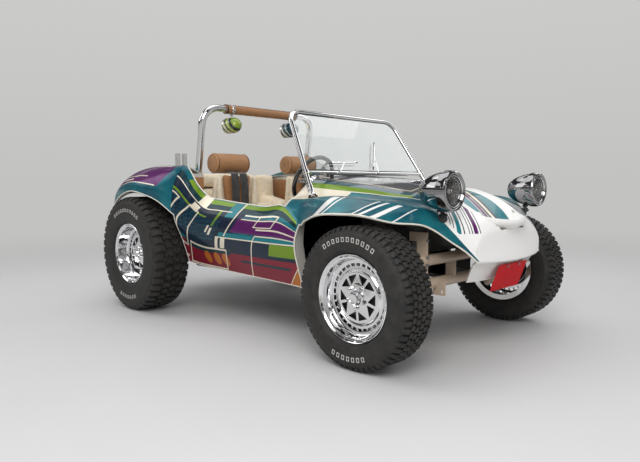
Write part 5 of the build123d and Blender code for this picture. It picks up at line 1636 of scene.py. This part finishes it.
def make_screen(finish):
    """Rubber seal round the glass, post feet with bolts, and the two wipers."""
    top_x, top_z, low_x, low_z = fx(0.778), 1.312, fx(0.561), 0.946
    up = Vector((top_x - low_x, 0, top_z - low_z))
    height = up.length
    up.normalize()

    def on_screen(y, rise):
        return Vector((low_x, y, low_z)) + up * rise

    lower, upper, gap = 0.5345, 0.4715, 0.0155
    corners = [on_screen(-lower, gap), on_screen(-upper, height - gap), on_screen(upper, height - gap),
               on_screen(lower, gap)]
    seal = tube("screen_seal", rounded(corners, 0.080, False), 0.0042, cyclic=True, resolution=3)
    done(seal, "chassis", finish["rubber_black"])
    post_low_y, post_top_y, foot_z, post_radius = 0.551, 0.484, 0.814, 0.0168
    slope_x, slope_y = (top_x - low_x) / (top_z - low_z), (post_low_y - post_top_y) / (top_z - low_z)
    foot = Vector((low_x + slope_x * (foot_z - low_z), post_low_y + slope_y * (low_z - foot_z), foot_z))
    lean = Vector((slope_x, -slope_y, 1)).normalized()
    sleeve = turned("screen_feet", [
        (0.0142, 0.07), (0.0165, 0.068), (0.017, 0.02), (0.02, 0.006), (0.028, 0.001), (0.028, -0.004)
    ], 40, closed=False, place=Matrix.Translation(foot) @ laid_along(lean))
    feet = [smooth(sleeve, 30)]
    head = [(0.0085, -0.001), (0.0085, 0.002), (0.0062, 0.0024), (0.0062, 0.0062), (0.0045, 0.0075)]
    for rise in (0.03, 0.055):
        seat = foot + lean * rise + Vector((0, post_radius, 0))
        feet.append(turned("screen_feet", head, 6, place=Matrix.Translation(seat) @ laid_along((0.15, 1, 0))))
    clamp = turned("screen_feet", [(0.015, -0.014), (0.0185, -0.012), (0.0185, 0.012), (0.015, 0.014)], 40,
                   closed=False, place=Matrix.Translation(on_screen(post_low_y, 0.0)) @ laid_along(lean))
    feet.append(smooth(clamp, 30))
    done(both_sides(join("screen_feet", feet)), "chassis", finish["chrome"])
    make_wipers(finish, low_x, low_z, up)


def make_wipers(finish, low_x, low_z, up):
    """Each wiper: domed pivot, flat sprung arm, blade holder with its claws and the rubber."""
    metal, rubbers = [], []
    across = Vector((0, 1, 0))
    out = across.cross(up)
    out = out if out.x > 0 else -out
    face = low_x + 0.0123 + 0.014
    # Columns: pivot y, blade's low end across and up, high end across and up
    for y, low_y, low_up, high_y, high_up in [
        (-0.3, -0.045, 0.06, 0.205, 0.068), (0.06, -0.027, 0.033, 0.098, 0.2)
    ]:
        base = Vector((face, y, low_z))
        slope = up.x / up.z

        def at(across_by, rise):
            return base + Vector((slope * rise, across_by, rise))

        pivot = turned("wiper_metal", [(0.0088, -0.013), (0.0088, 0.002), (0.0075, 0.005), (0.004, 0.0066),
                                       (0.0005, 0.007)], 24, place=Matrix.Translation(base) @ onto_x)
        ends = at(low_y, low_up), at(high_y, high_up)
        middle = (ends[0] + ends[1]) / 2
        along = (ends[1] - ends[0]).normalized()
        arm_way = middle - base
        arm = block("wiper_metal", (-0.0035, -0.0015, 0.0), (0.0035, 0.0015, arm_way.length), 0.0008, 1)
        side = arm_way.normalized().cross(out).normalized()
        arm.data.transform(Matrix.Translation(base) @ frame_of(
            side, arm_way.normalized().cross(side), arm_way
        ))
        holder = block("wiper_metal", (-0.003, -0.001, -0.105), (0.003, 0.0015, 0.105), 0.0008, 1)
        side = along.cross(out).normalized()
        turn = frame_of(side, along.cross(side), along)
        holder.data.transform(Matrix.Translation(middle) @ turn)
        metal += [smooth(pivot, 30), arm, holder]
        for where in (-0.1, -0.05, 0.05, 0.1):
            low, high = (-0.004, -0.0035, where - 0.004), (0.004, 0.002, where + 0.004)
            claw = block("wiper_metal", low, high, 0.0008, 1)
            claw.data.transform(Matrix.Translation(middle) @ turn)
            metal.append(claw)
        rubber_strip = block("wiper_rubber", (-0.0018, -0.0045, -0.125), (0.0018, 0.0045, 0.125), 0.001, 1)
        rubber_strip.data.transform(Matrix.Translation(middle - out * 0.004) @ turn)
        rubbers.append(rubber_strip)
    done(join("wiper_metal", metal), "chassis", finish["chrome"], ["wipers"])
    done(join("wiper_rubber", rubbers), "chassis", finish["rubber_black"])


def frame_of(side, depth, length):
    """Rotation whose columns are three unit directions."""
    columns = [Vector(v).normalized() for v in (side, depth, length)]
    return Matrix(columns).transposed().to_4x4()


def make_steering(finish):
    """Dished wheel: glossy dark rim with its seam, three drilled spokes, boss and plain horn button."""
    centre = Vector((fx(0.722), -seat_y, 0.901))
    rake = math.radians(24)
    axis = Vector((math.cos(rake), 0, -math.sin(rake)))
    place = Matrix.Translation(centre) @ frame_of((0, 1, 0), axis.cross(Vector((0, 1, 0))), axis)
    deselect()
    bpy.ops.mesh.primitive_torus_add(
        major_radius=0.15, minor_radius=0.0128, major_segments=96, minor_segments=20
    )
    rim = smooth(named("steering_grip"), 60)
    stitch = turned("steering_stitches", [
        (0.0006, -0.004), (0.001, -0.002), (0.001, 0.002), (0.0006, 0.004)
    ], 6, place=shift(0.1374, 0, 0) @ Matrix.Rotation(math.radians(60), 4, "X"))
    stitches = ring_of(stitch, 84, "Z")
    spokes = []
    for k in range(3):
        spoke = block("steering_spokes", (-0.015, 0.03, -0.0018), (0.015, 0.142, 0.0018), 0.0008, 1)
        for vertex in spoke.data.vertices:
            vertex.co.x *= 1.0 - 0.25 * (vertex.co.y - 0.03) / 0.112
        cutters = []
        for y, radius in ((0.062, 0.0085), (0.088, 0.0075), (0.112, 0.0065)):
            deselect()
            bpy.ops.mesh.primitive_cylinder_add(vertices=24, radius=radius, depth=0.02, location=(0, y, 0))
            cutters.append(settle(named("cutter")))
        cut_out(spoke, cutters)
        spoke.data.transform(Matrix.Rotation(math.radians(120 * k + 90), 4, "Z"))
        spokes.append(smooth(spoke, 30))
    boss = turned("steering_spokes", [
        (0.036, 0.03), (0.036, 0.004), (0.0345, 0.0005), (0.0345, -0.0035), (0.03, -0.005), (0.0295, -0.0035)
    ], 48)
    metal = join("steering_spokes", spokes + [smooth(boss, 30)])
    button = turned("horn_button", [(0.029, -0.003), (0.0285, -0.006), (0.024, -0.0085), (0.012, -0.01),
                                    (0.0005, -0.0103)], 40)
    dress([
        (rim, "steering_rim", "black_trim", ["steering_wheel"]),
        (smooth(stitches, 40), "tan_leather", "tan_leather", []),
        (metal, "chrome", "chrome", []),
        (smooth(button, 30), "horn_red", "plate_red", []),
    ], place, finish, "steering_wheel")


def make_engine_details(finish):
    """Fan belt, plug leads, oil filler and cap, and the nuts of the rocker covers and the axle's ends."""
    belt_x = -1.378
    loop = []
    # Columns: height and radius of the pulley, above it or below
    for pulley_z, radius, way in ((0.755, 0.069, 1), (0.4, 0.083, -1)):
        for degrees in range(0, 181, 15):
            angle = math.radians(degrees)
            loop.append((belt_x, way * radius * math.cos(angle), pulley_z + way * radius * math.sin(angle)))
    leads = [tube("engine_leads", loop, 0.005, cyclic=True, resolution=2)]
    for side in (-1, 1):
        for at, rise in ((-1.2633, 0.585), (-1.23, 0.565)):
            leads.append(tube("engine_leads", [
                (at + 0.02, side * 0.030, 0.600), (at, side * 0.110, rise + 0.03), (at, side * 0.23, rise),
                (at, side * 0.262, 0.486)
            ], 0.0036, 0.03, resolution=2))
    done(join("engine_leads", leads), "chassis", finish["rubber_black"])
    filler = turned("oil_filler", [
        (0.017, 0.0), (0.017, 0.06), (0.026, 0.062), (0.027, 0.075), (0.024, 0.082), (0.002, 0.084)
    ], 32, place=shift(-1.33, -0.055, 0.545))
    cap = turned("oil_filler", [(0.026, 0.0), (0.03, 0.006), (0.03, 0.05), (0.026, 0.062), (0.012, 0.066),
                                (0.01, 0.086), (0.002, 0.088)], 40, place=shift(-1.265, 0.01, 0.555))
    done(
        join("oil_filler", [smooth(filler, 30), smooth(cap, 30)]), "chassis", finish["rubber_black"],
    )
    nuts = []
    for side in (-1, 1):
        for at in (-1.315, -1.035):
            nuts.append(turned("rocker_nuts", [(0.009, 0.0), (0.009, 0.007), (0.006, 0.01)], 6,
                               place=shift(at, side * 0.33, 0.43) @ laid_along((0, side, 0))))
    plate_x = min(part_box("front_axle_beam")[1].x, 1.3425) - 0.001
    for y in (-0.43, 0.43):
        for z in (0.36, 0.398, 0.48, 0.518, 0.6):
            nuts.append(turned("rocker_nuts", [(0.0085, -0.002), (0.0085, 0.0065), (0.006, 0.009)], 6,
                               place=shift(plate_x, y, z) @ onto_x))
    done(join("rocker_nuts", nuts), "chassis", finish["steel"])


def make_tail_lamps(finish):
    """Chrome bezels round the red lamps, and the bolts of the number plate."""
    low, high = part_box("tail_lamps")
    x, y, z = low.x, high.y - 0.038, (low.z + high.z) / 2
    bezel = turned("tail_lamp_bezels", [
        (0.0382, -0.03), (0.0382, -0.001), (0.04, 0.002), (0.0425, 0.0015), (0.0435, -0.002), (0.0435, -0.03)
    ], 48, closed=False, place=shift(x + 0.002, y, z) @ Matrix.Rotation(-math.pi / 2, 4, "Y"))
    done(both_sides(smooth(bezel, 30)), "chassis", finish["chrome"])
    bolts = []
    turn = Matrix.Rotation(math.pi / 2 + math.radians(20), 4, "Y")
    for y in (-0.06, 0.06):
        bolt = turned("plate_bolts", [(0.007, 0.0), (0.0068, 0.0015), (0.005, 0.0032), (0.001, 0.0038)], 20,
                      place=shift(fx(-0.405) + 0.0002, y, 0.46) @ turn)
        bolts.append(smooth(bolt, 40))
    done(join("plate_bolts", bolts), "chassis", finish["steel"])


# Seats and trim

def padding(name, outline, low, high, axis, rounding):
    """Closed block for a pad: an outline of (along, up) points drawn out across it, its edges rounded."""
    deselect()
    bpy.ops.mesh.primitive_circle_add(vertices=len(outline), radius=1, fill_type="NGON")
    piece = named(name)
    for vertex, (along, up) in zip(piece.data.vertices, outline):
        vertex.co = (along, low, up) if axis == "Y" else (low, along, up)
    out = (0, high - low, 0) if axis == "Y" else (high - low, 0, 0)
    edit_all()
    bpy.ops.mesh.extrude_region_move(TRANSFORM_OT_translate={"value": out})
    object_mode()
    return modified(outward(piece), "BEVEL", width=rounding, segments=3)


cloth_frames, cloth_stiffness = 20, 40


def stuffed(piece, cap, voxel=0.0098, pressure=4.0):
    """Leather over foam: remeshed, swollen as cloth with each point's travel capped, then subdivided once."""
    modified(piece, "REMESH", mode="VOXEL", voxel_size=voxel, use_smooth_shade=True)
    mesh = piece.data
    start = [vertex.co.copy() for vertex in mesh.vertices]
    cloth = piece.modifiers.new("cloth", "CLOTH")
    cloth.settings.use_pressure = True
    cloth.settings.uniform_pressure_force = pressure
    cloth.settings.effector_weights.gravity = 0
    cloth.settings.tension_stiffness = cloth_stiffness
    cloth.settings.compression_stiffness = cloth_stiffness
    scene = bpy.context.scene
    for frame_number in range(1, cloth_frames + 1):
        scene.frame_set(frame_number)
    swollen = piece.evaluated_get(bpy.context.evaluated_depsgraph_get()).data
    moved = [vertex.co.copy() for vertex in swollen.vertices]
    piece.modifiers.remove(cloth)
    scene.frame_set(1)
    for vertex, old, new in zip(mesh.vertices, start, moved):
        travel = new - old
        vertex.co = old + travel * min(1.0, cap / max(travel.length, 1e-6))
    modified(piece, "SUBSURF", levels=1, render_levels=1)
    return smooth(outward(piece), 80)


def soft(piece, finish, nodes=()):
    done(piece, "chassis", finish, nodes)
    return piece


# Side view of the squab, as behind front axle and height, then back view of the seat back, as y and z
squab_line = [(1.555, 0.346), (1.09, 0.346), (1.024, 0.448), (1.044, 0.502), (1.445, 0.482), (1.555, 0.484)]
back_line = [(-0.192, 0.35), (0.192, 0.35), (0.193, 0.65), (0.163, 0.95), (-0.163, 0.95), (-0.192, 0.65)]


def make_seats(finish):
    """Two buckets: shell, tan panel between cream bolsters on back and squab, roll headrest, two straps."""
    squab = [(fx(behind), up) for behind, up in squab_line]
    squab_low = [(x, up - (0.012 if up > 0.44 else 0)) for x, up in squab]
    panel = [(-0.082, 0.505), (0.082, 0.505), (0.126, 0.952), (-0.126, 0.952)]
    bolster = [(0.094, 0.505), (0.187, 0.505), (0.189, 0.65), (0.163, 0.94), (0.141, 0.94)]
    back_x, face_x = seat_back_x, seat_face_x
    # Columns: name, outline, from, to, axis, edge rounding, travel cap, finish, twin on the other side
    rows = [
        ("shell", back_line, back_x + 0.002, back_x + 0.040, "X", 0.014, 0.004, "cream_hide", False),
        ("back_panel", panel, back_x + 0.045, face_x - 0.020, "X", 0.014, 0.009, "tan_leather", False),
        ("squab_panel", squab_low, -0.098, 0.098, "Y", 0.014, 0.008, "tan_leather", False),
        ("back_bolsters", bolster, back_x + 0.048, face_x - 0.010, "X", 0.02, 0.014, "cream_hide", True),
        ("squab_bolsters", squab, 0.110, 0.207, "Y", 0.02, 0.010, "cream_hide", True),
    ]
    parts = []
    for name, outline, low, high, axis, rounding, cap, key, twin in rows:
        piece = stuffed(padding(name, outline, low, high, axis, rounding), cap)
        parts.append((name, both_sides(piece) if twin else piece, key))
    for name, piece, key in parts:
        for side_name, y in seats:
            nodes = [f"seat_{side_name}"] if name == "shell" else []
            soft(copy_of(piece, f"seat_{side_name}_{name}", shift(0, y, 0)), finish[key], nodes)
        bpy.data.objects.remove(piece)
    make_headrests(finish)
    make_straps(finish)


def make_headrests(finish):
    """Rolls of tan leather with sewn ends, their seams piped in dark hide."""
    half, radius = 0.1425, 0.07
    ends = [(0.002, 0.0), (0.03, -0.001), (0.05, -0.0005), (0.058, 0.003), (0.0615, 0.002), (0.066, 0.006),
            (0.0692, 0.013), (0.068, 0.016)]
    middle = []
    for k in range(25):
        y = -half + 0.02 + (2 * half - 0.04) * k / 24
        middle.append((radius + 0.0008 * math.cos(math.pi * k) - 0.0022 * (2 * k / 24 - 1) ** 2, y))
    rings = [(r, -half + d) for r, d in ends] + middle + [(r, half - d) for r, d in reversed(ends)]
    roll = smooth(turned("roll", rings, sides=72), 50)
    seams = [turned("seam", [(0.0655, at - 0.002), (0.069, at - 0.0026), (0.0705, at), (0.069, at + 0.0026),
                             (0.0655, at + 0.002)], 72, closed=False) for at in (-half + 0.015, half - 0.015)]
    seam = smooth(join("seam", seams), 60)
    for side_name, y in seats:
        place = shift(fx(1.58), y, 1.032) @ onto_y
        nodes = ["headrests"] if side_name == "right" else []
        soft(
            copy_of(roll, f"headrest_{side_name}", place), finish["roll_leather"], nodes
        )
        done(
            copy_of(seam, f"headrest_{side_name}_seams", place), "chassis", finish["dark_leather"],
        )
    bpy.data.objects.remove(roll)
    bpy.data.objects.remove(seam)


def ribbon(name, path, width, wall=0.0022):
    """Flat webbing along a path, lying across Y."""
    deselect()
    bpy.ops.mesh.primitive_grid_add(x_subdivisions=len(path) - 1, y_subdivisions=2, size=1)
    piece = named(name)
    across = len(path)
    for i, vertex in enumerate(piece.data.vertices):
        x, y, z = path[i % across]
        vertex.co = (x, y + width * ((i // across) / 2 - 0.5), z)
    return smooth(modified(outward(piece), "SOLIDIFY", thickness=wall, offset=0), 40)


def make_straps(finish):
    """Harness: a pair of stitched shoulder straps down each seat back, each with a buckle and a tongue."""
    face = seat_face_x + 0.006
    for side_name, middle in seats:
        webs, buckles = [], []
        for y in (-0.041, 0.041):
            line = [(fx(1.575), middle + y * 0.86, 0.974), (fx(1.52), middle + y * 0.88, 0.972),
                    (face - 0.016, middle + y * 0.9, 0.958), (face - 0.004, middle + y * 0.92, 0.925)]
            line += [(
                face + 0.003 * math.sin(k), middle + y * (0.94 + 0.02 * k), 0.88 - 0.055 * k
            ) for k in range(6)]
            line += [(face + 0.004, middle + y * 1.1, 0.55), (face + 0.018, middle + y * 1.1, 0.522)]
            webs.append(ribbon("harness_straps", line, 0.062))
            low = middle + y * 1.04
            webs.append(ribbon("harness_straps", [(face + 0.004, low, 0.700), (face + 0.006, low, 0.660),
                                                  (face + 0.006, low, 0.62)], 0.066, 0.004))
            # Columns: from and to ahead of the face, half width, bottom, top, rounding and its steps
            for x0, x1, half, z0, z1, bevel, steps in (
                (0.004, 0.012, 0.036, 0.6, 0.64, 0.003, 2), (0.01, 0.016, 0.032, 0.612, 0.628, 0.002, 2),
                (0.004, 0.0075, 0.017, 0.565, 0.602, 0.001, 1)
            ):
                corners = (face + x0, low - half, z0), (face + x1, low + half, z1)
                buckles.append(block("harness_buckles", *corners, bevel, steps))
        done(join(f"harness_straps_{side_name}", webs), "chassis", finish["webbing"])
        done(join(f"harness_buckles_{side_name}", buckles), "chassis", finish["chrome"])


def make_bench(finish):
    """Rear bench: a plain seat, a back in two sewn panels, and fat rounded bolsters at its ends."""
    rear, front, inner, half = fx(2.1415), fx(1.7545), fx(2.044), 0.285
    seat = [(rear, 0.632), (front, 0.632), (front, 0.728), (rear, 0.728)]
    back_low = [(rear, 0.756), (inner, 0.756), (inner, 0.85), (rear, 0.85)]
    back_top = [(rear, 0.872), (inner - 0.004, 0.872), (inner - 0.006, 0.968), (rear, 0.968)]
    ends = [(rear, 0.632), (front, 0.632), (front, 0.725), (inner + 0.03, 0.79), (inner + 0.005, 0.968),
            (rear, 0.968)]
    # Columns: name, outline, from and to across, travel cap
    rows = [
        ("rear_bench_seat", seat, -half, half, 0.012),
        ("rear_bench_back_low", back_low, -half, half, 0.010),
        ("rear_bench_back_top", back_top, -half, half, 0.010),
        ("rear_bench_ends", ends, 0.312, 0.464, 0.014),
    ]
    for name, outline, low, high, cap in rows:
        pad = stuffed(padding(name, outline, low, high, "Y", 0.022), cap, 0.011)
        if outline is ends:
            pad = both_sides(pad)
        nodes = ["rear_bench"] if outline is seat else []
        soft(pad, finish["cream_hide"], nodes)


def make_side_trim(finish, skin):
    """Tan hide panels on the tub's inner sides, beside the hoop's feet."""
    columns, rows = 41, 21
    panels = []
    for side in (-1, 1):
        deselect()
        bpy.ops.mesh.primitive_grid_add(x_subdivisions=columns - 1, y_subdivisions=rows - 1, size=1)
        panel = named("side_trim")
        for i, vertex in enumerate(panel.data.vertices):
            s, t = (i % columns) / (columns - 1), (i // columns) / (rows - 1)
            x = fx(2.13) + (fx(1.6) - fx(2.13)) * s
            z = 0.64 + (0.29 - 0.15 * smooth_step(0.2, 1.0, s)) * t
            hit, place = skin.ray_cast(Vector((x, 0, z)), Vector((0, side, 0)))[:2]
            wall_y = tub_half if x < tub_front_x else cockpit_half
            y = min(abs(place.y), wall_y) if hit else wall_y
            vertex.co = (x, side * (y - 0.006), z)
        panels.append(smooth(modified(outward(panel), "SOLIDIFY", thickness=0.006, offset=0), 50))
        low, high = sorted((side * 0.552, side * 0.632))
        front = tub_front_x + shell_wall / 2
        panels.append(block("side_trim", (front, low, 0.635), (front + 0.01, high, 0.935), 0.004, 2))
    done(join("side_trim", panels), "chassis", finish["tan_leather"])


def dress_frame(finish):
    """Finishes of the CAD nodes that stay in view."""
    table = {
        "chrome": ["windscreen_frame", "roll_bar", "exhaust"],
        "glass": ["windscreen_glass"],
        "pan_black": ["floor_pan", "fuel_tank"],
        "inner_shell": ["dash_panel"],
        "black_trim": ["levers", "steering_column"],
        "plate_red": ["number_plate"],
        "lamp_red": ["tail_lamps"],
        "beige_paint": ["front_axle_beam", "knuckle_right", "knuckle_left", "track_rod", "rear_axle"],
        "steel": ["dampers", "pedals"],
        "alloy": ["transaxle", "engine_case"],
        "shroud_black": ["fan_shroud"],
        "drum_iron": [f"drum_{end}_{side}" for end in ("front", "rear") for side in ("right", "left")],
    }
    for key, nodes in table.items():
        for node in nodes:
            coated(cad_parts[node], finish[key])


def make_finishes():
    return {
        "paint": body_paint(),
        "bonnet": bonnet_paint(),
        "inner_shell": painted("inner_shell", (0.56, 0.535, 0.48), 0.45, 0.2),
        "beading": painted("beading", (0.80, 0.76, 0.66), 0.3, 0.4),
        "chrome": polished("chrome", (0.80, 0.80, 0.81), 0.05),
        "rim_chrome": polished("rim_chrome", (0.78, 0.78, 0.79), 0.04),
        "glass": clear_glass("screen_glass"),
        "tan_leather": leather("tan_leather", (0.36, 0.165, 0.06)),
        "cream_hide": leather("cream_hide", (0.80, 0.69, 0.51), 0.15),
        "roll_leather": leather("roll_leather", (0.44, 0.215, 0.085), 0.2, 130),
        "webbing": webbing(),
        "pan_black": painted("pan_black", (0.02, 0.02, 0.02), 0.45, 0.2),
        "black_trim": plastic("black_trim", (0.018, 0.018, 0.018)),
        "plate_red": plate_finish(),
        "lamp_red": coloured_glass("lamp_red", (0.5, 0.01, 0.01)),
        "pod_paint": pod_paint(),
        "steering_rim": painted("steering_rim", (0.020, 0.016, 0.014), 0.12, 1.0),
        "dark_leather": leather("dark_leather", (0.045, 0.022, 0.012), 0.2),
        # Lamp shell chrome with a dark tint: painted shade for a dark reflection
        "lamp_chrome_painted_dark": polished("lamp_chrome_painted_dark", (0.34, 0.335, 0.34), 0.03),
        # Reflector bowl near black: painted shade inside the lamp
        "lamp_bowl": polished("lamp_bowl", (0.040, 0.034, 0.030), 0.05),
        "lamp_glass": ribbed_glass(),
        "grille": plastic("grille", (0.012, 0.012, 0.012), 0.5, 420),
        "horn_red": painted("horn_red", (0.16, 0.030, 0.022), 0.25, 0.8),
        "rubber_black": plastic("rubber_black", (0.012, 0.012, 0.012), 0.65, 700),
        "beige_paint": painted("beige_paint", (0.56, 0.44, 0.33), 0.4, 0.4),
        "steel": cast_metal("steel", (0.30, 0.30, 0.30), 0.4),
        "alloy": cast_metal("alloy", (0.42, 0.42, 0.41), 0.5),
        "shroud_black": painted("shroud_black", (0.025, 0.025, 0.025), 0.3, 0.5),
        "drum_iron": cast_metal("drum_iron", (0.10, 0.095, 0.09), 0.6),
        "rubber": rubber("tyre_rubber"),
        "wall_white": painted("wall_white", (0.62, 0.61, 0.57), 0.6, 0.0),
    }


make_camera()
make_lights()
make_floor()
finishes = make_finishes()
dress_frame(finishes)
shell_piece = make_body(finishes)
done(shell_piece, "chassis", None, ["body_shell"])
make_tub(finishes)
make_wheels(finishes)
make_seats(finishes)
make_bench(finishes)
make_side_trim(finishes, shell_piece)
make_headlamps(finishes, shell_piece)
make_pods(finishes)
make_hoop(finishes)
make_screen(finishes)
make_steering(finishes)
make_tail_lamps(finishes)
make_engine_details(finishes)
